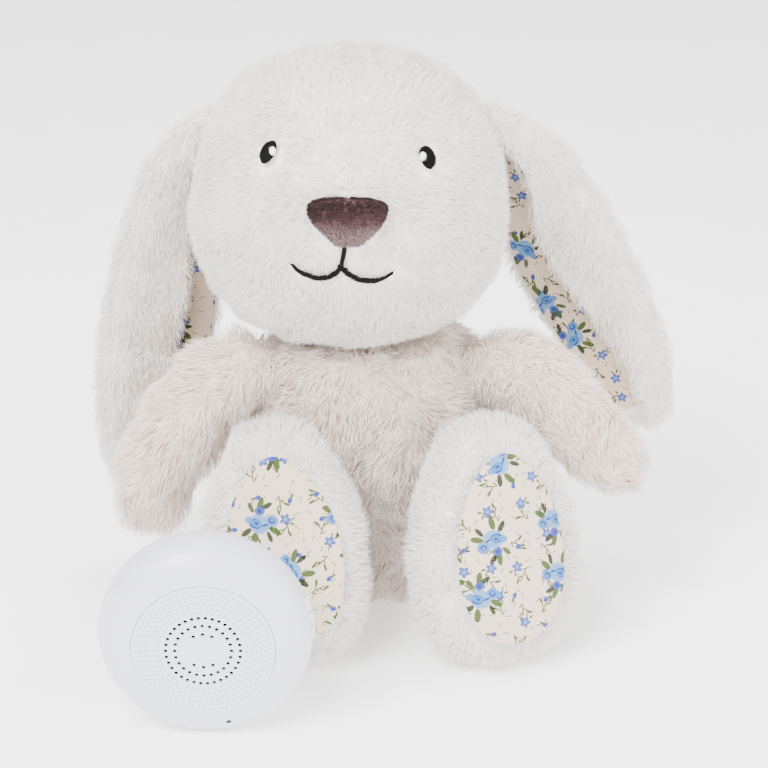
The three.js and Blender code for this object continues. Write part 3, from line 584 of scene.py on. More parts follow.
def grow(name, skin, body, slot, coat, look, towards, mask=None, swirl=0.6, jitter=0.3, seed=0, clump=0.5,
         pick=None):
    """Covers a skin with strands of fur of the skin's own slot, in pieces of a size that the tools take."""
    rng = np.random.default_rng(seed)
    facts = COATS[coat]
    density = facts["density"] * 1.0
    widen = 1.0
    place, outward = roots_on(skin.data, density, rng)
    scale = np.ones(len(place)) if mask is None else mask(place, outward)
    kept = scale > BARE
    place, outward, scale = place[kept], outward[kept], scale[kept]
    count = len(place)
    lie = combed(place, outward, towards(place), swirl, jitter, rng, seed)
    longer = 1 + 0.15 * ripple(place, 18 * MM, seed + 5)
    length = facts["length"] * MM * scale * rng.uniform(0.75, 1.15, count) * longer
    lean = np.radians(facts["lean"]) * (1 + 0.25 * ripple(place, 14 * MM, seed + 3))
    lean = lean * rng.uniform(0.8, 1.15, count)
    early = np.clip(lean * 0.7, 0.1, 1.35)[:, None]
    late = np.clip(lean * 1.25, 0.15, 1.5)[:, None]
    base = place - outward * ROOT_DEPTH
    half = length[:, None] * 0.5
    middle = base + half * (np.cos(early) * outward + np.sin(early) * lie)
    tip = middle + half * (np.cos(late) * outward + np.sin(late) * lie)
    near, tip = clumped(place, tip, clump, rng)
    middle = middle + (tip - base) * 0.04
    for points in (middle, tip):
        points[:, 2] = np.maximum(points[:, 2], FLOOR_CLEARANCE)
    kinds, root_count, tip_count = look[slot]["fur"]
    tint = (near * 7919 % 1009) / 1009 * 0.6 + rng.uniform(0, 0.4, count)    # one tone for each lock
    if pick is not None:
        tint = pick(place, tint)
    width = facts["half_width"] * MM * widen * rng.uniform(0.8, 1.2, count) * np.sqrt(scale)
    parts = max(1, math.ceil(count / FUR_PIECE_STRANDS))
    for part in range(parts):
        rows = slice(part * count // parts, (part + 1) * count // parts)
        label = name if parts == 1 else f"{name}_{part + 1}"
        mesh = strands(label, base[rows], middle[rows], tip[rows], outward[rows], width[rows])
        root_kind = np.minimum((tint[rows] * root_count).astype(int), root_count - 1)
        tip_kind = root_count + np.minimum((tint[rows] * tip_count).astype(int), tip_count - 1)
        index = np.concatenate([np.repeat(root_kind, 3), np.repeat(tip_kind, 3)])
        mesh.polygons.foreach_set("material_index", index.astype(np.int32))
        for kind in kinds:
            mesh.materials.append(kind)
        obj = link(label, mesh)
        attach(obj, body)


def away_from(centre, pull):
    """Combs a coat away from a place, with a pull that is added to the direction."""
    return lambda place: unit(place - centre) + np.array(pull)


def strands(label, base, middle, tip, outward, width):
    """Three-sided tapered strands, flat side down, from root to middle to tip."""
    n = len(base)
    rings = []
    for points, ahead, share in ((base, middle - base, 1.0), (middle, tip - base, 0.85)):
        side = unit(np.cross(ahead, outward)) * (width * share)[:, None]
        up = unit(np.cross(side, ahead)) * (width * share * 0.7)[:, None]
        rings.append([points - side, points + side, points + up])
    verts = np.concatenate([*rings[0], *rings[1], tip])
    k = np.arange(n)
    quads = [np.stack([a * n + k, b * n + k, (b + 3) * n + k, (a + 3) * n + k], 1)
             for a, b in ((0, 1), (1, 2), (2, 0))]
    ends = [np.stack([a * n + k, b * n + k, 6 * n + k], 1) for a, b in ((3, 4), (4, 5), (5, 3))]
    quads = np.stack(quads, 1).reshape(-1, 4)
    ends = np.stack(ends, 1).reshape(-1, 3)
    mesh = bpy.data.meshes.new(label)
    mesh.vertices.add(len(verts))
    mesh.vertices.foreach_set("co", verts.astype(np.float32).ravel())
    corners = np.concatenate([quads.ravel(), ends.ravel()])
    mesh.loops.add(len(corners))
    mesh.loops.foreach_set("vertex_index", corners.astype(np.int32))
    starts = np.concatenate([np.arange(len(quads)) * 4, len(quads) * 4 + np.arange(len(ends)) * 3])
    mesh.polygons.add(len(starts))
    mesh.polygons.foreach_set("loop_start", starts.astype(np.int32))
    mesh.update(calc_edges=True)
    mesh.shade_smooth()
    return mesh


def distance_to(points, target):
    return np.linalg.norm(points - np.asarray(target), axis=1)


def smooth_step(values, low, high):
    t = np.clip((values - low) / (high - low), 0, 1)
    return t * t * (3 - 2 * t)


def surface_distance(node):
    """Measures the distance from points to the surface of a CAD node."""
    tree = tree_of(frame["nodes"][node].data)
    return lambda points: np.array([tree.find_nearest(Vector(p))[3] for p in points])


def middle_of(node):
    low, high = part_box(node)
    return (low + high) / 2


def joint_place(name):
    return np.array(next(j for j in frame["joints"] if j["name"] == name)["pos_m"])


# ---------------------------------------------------------------- stage
def add_camera():
    data = bpy.data.cameras.new("view")
    data.lens = CAMERA["lens"]
    data.sensor_width = 36
    data.clip_start, data.clip_end = 0.05, 20
    camera = link("view", data)
    camera.location = CAMERA["place"]
    camera.rotation_euler = (math.radians(90 - CAMERA["pitch"]), 0, 0)
    bpy.context.scene.camera = camera


def add_light(name, place, size, power):
    """A round lamp that faces the middle of the object."""
    data = bpy.data.lights.new(name, "AREA")
    data.shape = "DISK"
    data.size = size
    data.energy = power
    light = link(name, data)
    light.location = place
    light.rotation_mode = "QUATERNION"
    light.rotation_quaternion = (LIT - Vector(place)).to_track_quat("-Z", "Y")


def add_stage():
    for name, (place, size, power) in LIGHTS.items():
        add_light(name, place, size, power)
    world = bpy.context.scene.world or bpy.data.worlds.new("world")
    bpy.context.scene.world = world
    world.use_nodes = True
    set_inputs(world.node_tree.nodes["Background"], {"Color": (1, 1, 1, 1), "Strength": SKY_STRENGTH})
    corners = [(x * FLOOR_HALF, y * FLOOR_HALF, 0) for x, y in ((-1, -1), (1, -1), (1, 1), (-1, 1))]
    floor = add_object("floor", corners, [(0, 1, 2, 3)])
    paper = speckled("floor_paper", (250, 250, 250), (254, 254, 254), 30, 0.9, 0.01 * MM, specular=0.1)
    bsdf = paper.node_tree.nodes["Principled BSDF"]
    set_inputs(bsdf, {"Emission Color": (1, 1, 1, 1), "Emission Strength": FLOOR_GLOW})
    floor.data.materials.append(paper)


# ---------------------------------------------------------------- pieces
def settle(obj, body, material, replaces=()):
    """Gives a piece its material and its body, and hides the CAD nodes that it stands for."""
    obj.data.materials.append(material)
    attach(obj, body)
    if replaces:
        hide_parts(*replaces)
    return obj


def finish_skin(obj, body, slot, look, replaces):
    obj.data.materials.clear()
    settle(obj, body, look[slot]["skin"], replaces)


def make_head(look):
    skin = stuffed(hull("head_skin", "head_cover"), "head", seed=11)
    finish_skin(skin, "head", "plush_white", look, ["head_cover", "head_stuffing"])
    nose_middle = np.array(middle_of("nose"))
    brow = nose_middle + np.array([0, 6 * MM, 8 * MM])
    eyes = [np.array(middle_of(node)) + np.array(shift) * MM for node, shift in EYE_SHIFTS.items()]
    from_mouth = surface_distance("mouth_embroidery")
    from_nose = surface_distance("nose")
    face = nose_middle[1] + 30 * MM
    across_face = np.array([1, 0.3, 1])

    def mask(place, outward):
        scale = np.ones(len(place))
        front = place[:, 1] < face
        for eye in eyes:
            from_eye = distance_to(place[front], eye)
            scale[front] *= smooth_step(from_eye, 5.4 * MM, 10 * MM) * 0.7 + 0.3
        scale[front] *= smooth_step(from_mouth(place[front]), 3.4 * MM, 9 * MM) * 0.65 + 0.35
        scale[front] *= smooth_step(from_nose(place[front]), 0.6 * MM, 5 * MM) * 0.7 + 0.3
        near_mouth = from_mouth(place[front]) < 3.6 * MM
        on_nose = from_nose(place[front]) < 0.4 * MM
        scale[np.flatnonzero(front)[near_mouth | on_nose]] = 0
        for eye in eyes:
            scale[distance_to(place * across_face, eye * across_face) < 4.1 * MM] = 0
        return scale

    grow("head_fur", skin, "head", "plush_white", "head", look, away_from(brow, (0, 0, -0.25)), mask,
         swirl=0.5, seed=21)
    return skin


NOSE_DEPTH = 0.74        # how far the padded nose stands out, as a share of its hard form


def make_nose(look):
    skin = hull("nose_pad", "nose")
    remeshed(skin, 1.0 * MM)
    relax(skin, 30, 0.6)
    points = coords(skin.data) - normals(skin.data) * COATS["nose"]["inset"] * MM
    back = points[:, 1].max()
    points[:, 1] = back + (points[:, 1] - back) * NOSE_DEPTH
    set_coords(skin.data, points)
    subdivided(skin)
    finish_skin(skin, "head", "nose_plush", look, ["nose"])
    low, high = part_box("nose")

    def towards(place):
        flat = np.zeros_like(place)
        upper = smooth_step((place[:, 2] - low.z) / (high.z - low.z), 0.35, 0.7)
        flat[:, 0] = np.clip((place[:, 0] - (low.x + high.x) / 2) / (6 * MM), -1, 1) * upper * 0.9
        flat[:, 2] = -1 + 0.7 * upper
        return flat

    def pick(place, tint):
        share = smooth_step((place[:, 2] - low.z) / (high.z - low.z), 0.15, 0.85)
        return np.clip(share * 0.85 + (tint - 0.5) * 0.3, 0, 0.999)

    def mask(place, outward):
        return np.where(outward[:, 1] < 0.35, 1.0, 0.0)

    grow("nose_pile", skin, "head", "nose_plush", "nose", look, towards, mask, swirl=0.25, jitter=0.2,
         seed=31, clump=0.3, pick=pick)


def make_torso(look):
    neck = joint_place("head_turn")
    neck[2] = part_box("torso_cover")[1].z
    pocket = middle_of("pocket_liner")
    liner_low, liner_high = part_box("pocket_liner")
    ring = (liner_high.x - liner_low.x) / 2
    back = liner_low.y + 12 * MM
    edge = ring + 5 * MM
    flap_low, flap_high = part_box("pocket_flap")

    def behind_flap(points):
        height = (points[:, 2] > flap_low.z + 1 * MM) & (points[:, 2] < flap_high.z - 3 * MM)
        return (from_axis(points) < edge) & (points[:, 1] > back) & height

    def from_axis(points):
        return np.hypot(points[:, 0] - pocket.x, points[:, 2] - pocket.z)

    def under_flap(points):
        return (1 - smooth_step(from_axis(points), edge, edge + 8 * MM)) * (points[:, 1] > back)

    skin = stuffed(hull("torso_skin", "torso_cover"), "torso", keep=under_flap, seed=12)
    cutter = tube_form("cutter", ring + 0.3 * MM, liner_low.y - 0.5 * MM, liner_high.y + 60 * MM, pocket)
    cut_away(skin, cutter)
    finish_skin(skin, "torso", "plush_cream", look, ["torso_cover", "torso_stuffing", "bead_bag"])

    def towards(place):
        down = np.tile([0.0, -0.15, -1.0], (len(place), 1))
        down[:, 0] = 0.5 * (place[:, 0] - pocket.x) / ring
        return down

    def mask(place, outward):
        scale = np.ones(len(place))
        scale[behind_flap(place)] = 0
        scale[(from_axis(place) < ring + 1 * MM) & (place[:, 1] > liner_low.y - 3 * MM)] = 0
        scale[(outward[:, 2] < -0.9) & (place[:, 2] < 8 * MM)] = 0.3
        scale[distance_to(place, middle_of("tail")) < 8 * MM] = 0
        scale[distance_to(place, neck) < 17 * MM] = 0
        return scale

    grow("torso_fur", skin, "torso", "plush_cream", "torso", look, towards, mask, swirl=0.95, seed=22)


def tube_form(name, radius, low, high, centre, sides=96):
    """A closed cylinder along Y."""
    verts = [(centre.x + radius * math.cos(t), y, centre.z + radius * math.sin(t))
             for y in (low, high) for t in around(sides)]
    ends = [tuple(reversed(range(sides))), tuple(range(sides, 2 * sides))]
    return add_object(name, verts, band(0, sides) + ends)


def cut_away(obj, cutter):
    face_out(cutter)
    difference = obj.modifiers.new("cut", "BOOLEAN")
    difference.operation = "DIFFERENCE"
    difference.solver = "EXACT"
    difference.object = cutter
    baked(obj)
    bpy.data.objects.remove(cutter)


def make_arm(side, look):
    name = f"arm_{side}"
    nodes = [f"{name}_cover", f"{name}_stuffing"]
    skin = stuffed(joined(f"{name}_skin", nodes), "arm", seed=13)
    finish_skin(skin, name, "plush_cream", look, nodes)
    shoulder = joint_place(f"{name}_swing") + np.array([0, 0, 12 * MM])
    grow(f"{name}_fur", skin, name, "plush_cream", "arm", look, away_from(shoulder, (0, 0, -0.3)),
         swirl=0.7, seed=23)


def make_leg(side, look):
    name = f"leg_{side}"
    nodes = [f"{name}_cover", f"{name}_stuffing"]
    skin = stuffed(joined(f"{name}_skin", nodes), "leg", seed=14)
    finish_skin(skin, name, "plush_white", look, nodes)
    from_sole = surface_distance(f"{name}_sole")
    centre = np.array(middle_of(f"{name}_sole"))

    def mask(place, outward):
        gap = from_sole(place)
        scale = smooth_step(gap, 2.8 * MM, 6 * MM) * 0.5 + 0.5
        scale[gap < 3.6 * MM] = 0
        scale[(outward[:, 2] < -0.9) & (place[:, 2] < 7 * MM)] = 0.3
        return scale

    grow(f"{name}_fur", skin, name, "plush_white", "leg", look, away_from(centre, (0, 0.2, -0.1)), mask,
         swirl=0.5, seed=24)


def make_ear(side, look):
    name = f"ear_{side}"
    from_lining = surface_distance(f"{name}_lining")
    skin = joined(f"{name}_skin", [f"{name}_cover"])
    remeshed(skin, 2.2 * MM)
    relax(skin, 6)
    points, outward = coords(skin.data), normals(skin.data)
    gap = from_lining(points)
    inset = COATS["ear"]["inset"] * MM * smooth_step(gap, 1.5 * MM, 4 * MM)
    set_coords(skin.data, points - outward * inset[:, None])
    relax(skin, 3)
    subdivided(skin)
    finish_skin(skin, name, "plush_white", look, [f"{name}_cover"])
    root = joint_place(f"{name}_flop")

    def mask(place, outward):
        gap = from_lining(place)
        scale = smooth_step(gap, 1.6 * MM, 4.5 * MM) * 0.8 + 0.2
        scale[gap < 2.2 * MM] = 0
        return scale

    grow(f"{name}_fur", skin, name, "plush_white", "ear", look, away_from(root, (0, 0, -0.6)), mask,
         swirl=0.45, seed=25)


# ---------------------------------------------------------------- printed soles and ear linings
def own_plane(mesh):
    """The middle of a flat node, and its long, wide and outward directions."""
    points = coords(mesh)
    middle = (points.min(0) + points.max(0)) / 2
    _, _, (long, _, out) = np.linalg.svd(points - points.mean(0), full_matrices=False)
    long = long * np.sign(long[2])
    out = out * -np.sign(out[1])
    return points, middle, long, np.cross(long, out), out


def add_cloth_map(mesh, across, up, shift=(0, 0)):
    """Lays the print on the cloth at its real size: one unit is one millimetre."""
    layer = mesh.uv_layers.new(name="cloth")
    index = np.empty(len(mesh.loops), np.int64)
    mesh.loops.foreach_get("vertex_index", index)
    place = np.stack([across[index] / MM + shift[0], up[index] / MM + shift[1]], 1)
    layer.data.foreach_set("uv", place.astype(np.float32).ravel())


SOLE = {"rings": 44, "sides": 132, "over": 0.8 * MM, "crown": 2.4 * MM, "tuck": 1.3 * MM, "tuck_from": 0.93,
        "puckers": 23, "pucker": 0.22 * MM}


def make_sole(side, look, shift):
    """A panel of printed cotton drawn over the stuffed foot, with its edge turned in under the pile."""
    name = f"leg_{side}_sole"
    points, middle, long, wide, out = own_plane(frame["nodes"][name].data)
    flat = np.stack([(points - middle) @ wide, (points - middle) @ long], 1)
    angles = np.arctan2(flat[:, 1], flat[:, 0])
    reach = np.hypot(flat[:, 0], flat[:, 1])
    rim = reach > 0.3 * reach.max()
    order = np.argsort(angles[rim])
    face = ((points - middle) @ out).max()
    sides = SOLE["sides"]
    turns = np.linspace(-math.pi, math.pi, sides, endpoint=False)
    radius = np.interp(turns, angles[rim][order], reach[rim][order], period=2 * math.pi) + SOLE["over"]
    shares = np.linspace(0, 1, SOLE["rings"] + 1)[1:]
    across, up, height = [0.0], [0.0], [face + SOLE["crown"]]
    for share in shares:
        pucker = SOLE["pucker"] * share ** 7 * np.sin(SOLE["puckers"] * turns + 2 * np.sin(3 * turns))
        tuck = SOLE["tuck"] * max(0, (share - SOLE["tuck_from"]) / (1 - SOLE["tuck_from"])) ** 2
        across.extend(share * radius * np.cos(turns))
        up.extend(share * radius * np.sin(turns))
        height.extend(face + SOLE["crown"] * (1 - share ** 2.2) + pucker - tuck)
    across, up, height = map(np.array, (across, up, height))
    height = height + ripple(np.stack([across, up, 0 * up], 1), 30 * MM, 51) * 0.25 * MM
    verts = middle + across[:, None] * wide + up[:, None] * long + height[:, None] * out
    faces = [(0, 1 + i, 1 + (i + 1) % sides) for i in range(sides)]
    for ring in range(len(shares) - 1):
        start = 1 + ring * sides
        faces += [(a, d, c, b) for a, b, c, d in band(start, sides)]
    if np.cross(verts[faces[0][1]] - verts[0], verts[faces[0][2]] - verts[0]) @ out < 0:
        faces = [tuple(reversed(f)) for f in faces]
    obj = add_object(f"{name}_cloth", verts, faces)
    add_cloth_map(obj.data, across, up, shift)
    settle(obj, f"leg_{side}", look["cotton"], [name])


def make_lining(side, look, shift):
    """The cotton that faces the inside of a hanging ear."""
    name = f"ear_{side}_lining"
    obj = joined(f"{name}_cloth", [name])
    points, middle, long, wide, out = own_plane(obj.data)
    with opened(obj.data) as bm:
        bmesh.ops.remove_doubles(bm, verts=bm.verts, dist=0.01 * MM)
    remeshed(obj, 0.55 * MM)
    relax(obj, 12)
    points = coords(obj.data)
    wrinkle = ripple(points, 15 * MM, 61) * 0.3 * MM
    set_coords(obj.data, points + out * wrinkle[:, None])
    across, up = (points - middle) @ wide, (points - middle) @ long
    add_cloth_map(obj.data, across, up, shift)
    settle(obj, f"ear_{side}", look["cotton"], [name])


# ---------------------------------------------------------------- embroidery
def add_threads(name, paths, half_width, material, body, replaces=()):
    """Satin stitches: short round threads, tapered at both ends, each given as points and the way out."""
    sides, verts, faces = 6, [], []
    for points, out in paths:
        points = np.asarray(points)
        side = unit(np.cross(unit(np.gradient(points, axis=0)), out))
        start = len(verts)
        count = len(points)
        for k in range(count):
            taper = math.sqrt(max(0.02, 1 - (2 * k / (count - 1) - 1) ** 4))
            for turn in around(sides):
                spoke = math.cos(turn) * side[k] + math.sin(turn) * np.asarray(out)
                verts.append(points[k] + half_width * taper * spoke)
        for k in range(count - 1):
            faces += band(start + k * sides, sides)
        last = start + (count - 1) * sides
        faces += [tuple(start + j for j in reversed(range(sides))), tuple(last + j for j in range(sides))]
    return settle(add_object(name, verts, faces), body, material, replaces)


def face_surface(skin):
    """Finds the place on the stuffed head behind a place in the front view, and its outward direction."""
    tree = tree_of(skin.data)

    def drop(x, z):
        place, outward, _, _ = tree.ray_cast(Vector((x, -0.3, z)), Vector((0, 1, 0)))
        outward = np.array(outward)
        return np.array(place), outward * -np.sign(outward[1])

    return drop


# The smile in the front view, in millimetres of the row's frame: left end to right end, and the stem over its
# middle.
SMILE_LEFT = [(-35.6, 164.8), (-33.4, 162.2), (-30.2, 160.6), (-26.0, 159.4), (-21.6, 160.0), (-18.4, 162.2),
              (-16.6, 165.0)]
SMILE_RIGHT = [(-16.6, 165.0), (-14.6, 162.0), (-11.2, 159.8), (-7.4, 158.7), (-3.6, 158.6), (-0.4, 159.6),
               (2.8, 161.6)]
SMILE_STEM = [(-15.2, 173.4), (-15.8, 170.0), (-16.6, 165.6)]
STITCH = {"pitch": 0.3 * MM, "half_width": 0.26 * MM, "height": 2.6 * MM, "slant": 38}


def curve_points(corners, pitch):
    """A smooth path through its corners, in equal steps."""
    corners = np.array(corners) * MM
    away = np.concatenate([[0], np.cumsum(np.linalg.norm(np.diff(corners, axis=0), axis=1))])
    fine = np.linspace(0, away[-1], 400)
    path = np.stack([np.interp(fine, away, corners[:, i]) for i in (0, 1)], 1)
    kernel = np.ones(41) / 41
    padded = np.concatenate([np.repeat(path[:1], 20, 0), path, np.repeat(path[-1:], 20, 0)])
    path = np.stack([np.convolve(padded[:, i], kernel, "valid") for i in (0, 1)], 1)
    steps = max(int(away[-1] / pitch), 2)
    pick = np.linspace(0, len(path) - 1, steps)
    return np.stack([np.interp(pick, np.arange(len(path)), path[:, i]) for i in (0, 1)], 1)


def make_mouth(look, drop):
    rng = np.random.default_rng(71)
    paths = []
    for corners, widest in ((SMILE_LEFT, 1.7), (SMILE_RIGHT, 1.7), (SMILE_STEM, 1.3)):
        line = curve_points(corners, STITCH["pitch"])
        ahead = unit(np.gradient(line, axis=0))
        for k, (place, along) in enumerate(zip(line, ahead)):
            share = k / (len(line) - 1)
            end = share if corners is SMILE_LEFT else 1 - share
            half = widest * MM
            if corners is not SMILE_STEM:
                half *= 0.45 + 0.55 * min(1, end * 3.2)
            turn = math.radians(STITCH["slant"] + rng.normal(0, 5))
            across = np.array([along[0] * math.cos(turn) - along[1] * math.sin(turn),
                               along[0] * math.sin(turn) + along[1] * math.cos(turn)])
            points = []
            for step in np.linspace(-1, 1, 5):
                x, z = place + across * half * 1.25 * step
                at, out = drop(x, z)
                points.append(at + out * (STITCH["height"] - 0.6 * MM * step ** 2))
            paths.append((points, out))
    add_threads("smile_stitches", paths, STITCH["half_width"], look["thread"], "head",
                ["mouth_embroidery"])


# An eye's outline and stitches, in millimetres and degrees. The glint, a painted highlight of white stitches,
# is given as its middle and its half sizes.
EYE = {"half_width": 2.9, "half_height": 4.7, "lean": 32, "painted_highlight": (1.9, 0.6, 1.15, 1.5), "reach": 7.0,
       "row": 0.3, "step": 0.25, "slope": 0.38, "break": 0.6, "height": 1.9, "dome": 1.2,
       "dome_size": (4.6, 6)}
# From each eye's CAD node to the place where the photograph shows it, in millimetres.
EYE_SHIFTS = {"eye_left": (0.8, 0, -1.6), "eye_right": (-1.4, 0, -3.0)}


def eye_colour(u, v):
    """The thread at a place on an eye, where u is towards the nose and v is up: white for the painted
    highlight, black or none.
    """
    x, z, half_width, half_height = EYE["painted_highlight"]
    if ((u - x) / half_width) ** 2 + ((v - z) / half_height) ** 2 < 1:
        return "white"
    lean = math.radians(EYE["lean"])
    a = u * math.cos(lean) - v * math.sin(lean)
    b = u * math.sin(lean) + v * math.cos(lean)
    return "black" if (a / EYE["half_width"]) ** 2 + (b / EYE["half_height"]) ** 2 < 1 else None


def make_eye(name, look, drop, inner):
    """An almond of black stitches with a painted highlight of white stitches on the nose's side. inner is 1
    where that side is +X.
    """
    middle = middle_of(name) + Vector(EYE_SHIFTS[name]) * MM
    threads = {"black": [], "white": []}
    for row in np.arange(-EYE["reach"], EYE["reach"], EYE["row"]):
        runs = {"black": [], "white": []}
        for step in np.arange(-EYE["reach"], EYE["reach"], EYE["step"]):
            x, z = step * 0.92 + row * EYE["slope"] * 0.4, row - step * EYE["slope"]
            kind = eye_colour(x * inner, z)
            if kind:
                runs[kind].append((x, z))
        for kind, run in runs.items():
            breaks = [i for i in range(1, len(run)) if math.dist(run[i], run[i - 1]) > EYE["break"]]
            for part in np.split(np.array(run), breaks):
                if len(part) < 3:
                    continue
                points = []
                for x, z in part:
                    at, out = drop(middle.x + x * MM, middle.z + z * MM)
                    wide, tall = EYE["dome_size"]
                    bulge = max(0, 1 - (x / wide) ** 2 - (z / tall) ** 2)
                    points.append(at + out * (EYE["height"] + EYE["dome"] * bulge) * MM)
                threads[kind].append((points, out))
    add_threads(f"{name}_stitches", threads["black"], 0.24 * MM, look["eye_thread"], "head",
                [name])
    # White stitches as a painted highlight on the eye.
    add_threads(f"{name}_glint", threads["white"], 0.22 * MM, look["painted_highlight_thread"], "head")


# ---------------------------------------------------------------- sound module
MODULE = {"centre": (-0.06785, -0.09381, 0.0406), "turn": 94, "radius": 40.6, "face": 15.0, "back": 17.0,
          "front_half": 17.5, "back_half": 18.6, "power": 2.6, "wall": 2.0, "sides": 160}
SEAM = {"half_gap": 0.12, "groove": 0.18, "groove_to": 0.2}
GRILLE = {"radius": 27.0, "gap": 0.16, "hole": 0.78, "thickness": 0.9, "dimple": 0.5, "dimple_depth": 0.3}
KEYS = {"names": ("volume_down", "play", "volume_up"), "first": 0.815, "step": 8.185, "length": 4.8,
        "width": 5.0, "mark_at": (37.6, 0, 9.0), "mark_tilt": 58}
# The bars of each key's mark: half lengths across and along the module.
KEY_MARKS = ([(1.1, 0.28)], [(0.7, 0.28), (0.28, 0.7)], [(1.1, 0.28), (0.28, 1.1)])
SCREW_CIRCLE = 30
SCREW_ANGLES = (70, 190, 310)
SOCKET_ANGLE = 160
SOUND_RINGS = [(14, 34, 0, 360), (10.6, 24, 0, 360), (7, 12, 45, 135), (7, 12, 225, 315)]


def set_in_module(obj):
    """Takes a form from the module's own millimetres to its place."""
    turn = Matrix.Rotation(math.radians(MODULE["turn"]), 4, "X")
    obj.data.transform(Matrix.Translation(MODULE["centre"]) @ turn @ Matrix.Scale(MM, 4))
    return obj


def shell_radius(height, inset=0.0):
    half = (MODULE["front_half"] if height > 0 else MODULE["back_half"]) - inset
    share = min(abs(height) / half, 1)
    return (MODULE["radius"] - inset) * (1 - share ** MODULE["power"]) ** (1 / MODULE["power"])


def lathe(name, profile, sides=MODULE["sides"]):
    """Turns a closed outline of (radius, height) points about the module's axis."""
    verts, faces, rings = [], [], []
    for radius, height in profile:
        if radius < 1e-6:
            rings.append([len(verts)])
            verts.append((0, 0, height))
        else:
            rings.append(list(range(len(verts), len(verts) + sides)))
            verts += [(radius * math.cos(t), radius * math.sin(t), height) for t in around(sides)]
    for a, b in zip(rings, rings[1:] + rings[:1]):
        if len(a) == len(b) == 1:
            continue
        for i in range(sides):
            j = (i + 1) % sides
            corners = [a[i % len(a)], a[j % len(a)], b[j % len(b)], b[i % len(b)]]
            corners = [c for k, c in enumerate(corners) if c != corners[k - 1]]
            faces.append(corners)
    obj = add_object(name, verts, faces)
    face_out(obj)
    return obj


def soft_box(name, low, high, turn=0.0, bevel=0.0):
    """A block in the module's own frame, turned about the axis, with rounded edges."""
    bm = bmesh.new()
    bmesh.ops.create_cube(bm, size=1)
    for vert in bm.verts:
        vert.co = Vector([low[i] + (high[i] - low[i]) * (vert.co[i] + 0.5) for i in range(3)])
    if bevel:
        bmesh.ops.bevel(bm, geom=bm.edges, offset=bevel, segments=3, profile=0.5, affect="EDGES")
    bmesh.ops.rotate(bm, verts=bm.verts, cent=(0, 0, 0), matrix=Matrix.Rotation(math.radians(turn), 3, "Z"))
    obj = object_from(name, bm)
    obj.data.shade_smooth()
    return obj


def key_turn(i):
    return KEYS["first"] + i * KEYS["step"]


def key_block(name, i, grow=0.0, bevel=0.0):
    half, tall = KEYS["length"] / 2 + grow, KEYS["width"] / 2 + grow
    low = (MODULE["radius"] - 5 - grow, -half, -tall)
    high = (MODULE["radius"] + 0.75 + grow * 4, half, tall)
    return soft_box(name, low, high, key_turn(i), bevel)


def post_hole(angle, low, high, radius):
    turn = math.radians(angle)
    hole = lathe("hole", [(0, low), (radius, low), (radius, high), (0, high)], 32)
    hole.data.transform(Matrix.Translation((SCREW_CIRCLE * math.cos(turn), SCREW_CIRCLE * math.sin(turn), 0)))
    return hole


def half_shell(name, heights, edge, inner_heights):
    """Half of the housing: its outside from the seam, the outline of its end, and its inside back again."""
    outer = [(shell_radius(h) - (SEAM["groove"] if abs(h) < SEAM["groove_to"] else 0), h) for h in heights]
    inner = [(shell_radius(h, MODULE["wall"]), h) for h in inner_heights]
    return lathe(name, outer + edge + inner)


def make_shells(look):
    gap, back, seat = SEAM["half_gap"], MODULE["back"], GRILLE["radius"] - 2
    lip = GRILLE["radius"] + GRILLE["gap"]
    rim = [(lip + 0.12, 14.68), (lip, 14.6), (lip, 12.7), (seat, 12.7), (seat, 11.4)]
    heights = [gap, 0.3, *np.linspace(0.6, 14.55, 40)]
    front = half_shell("module_front_shell", heights, rim, np.linspace(11.0, gap, 14))
    foot = [(22.6, -16.86), (21.8, -back), (0, -back), (0, MODULE["wall"] - back)]
    heights = [-gap, -0.3, *np.linspace(-0.6, -16.6, 40)]
    rear = half_shell("module_rear_shell", heights, foot, np.linspace(-14.8, -gap, 14))
    for shell in (front, rear):
        for i in range(3):
            cut_away(shell, key_block("slot", i, 0.22))
    led = lathe("hole", [(0, 4), (1.15, 4), (1.15, 30), (0, 30)], 24)
    led.data.transform(Matrix.Translation((8.5, -32.5, 0)))
    cut_away(front, led)
    cut_away(rear, soft_box("slot", (30, -4.9, -8.9), (50, 4.9, -5.1), SOCKET_ANGLE, 1.2))
    for angle in SCREW_ANGLES:
        cut_away(rear, post_hole(angle, -30, -11.6, 2.9))
    for obj, node in ((front, "module_front_housing"), (rear, "module_rear_housing")):
        smooth_by_angle(obj)
        settle(set_in_module(obj), "sound_module", look["shell"], [node])


def smooth_by_angle(obj, degrees=32):
    obj.data.shade_smooth()
    obj.data.set_sharp_from_angle(angle=math.radians(degrees))


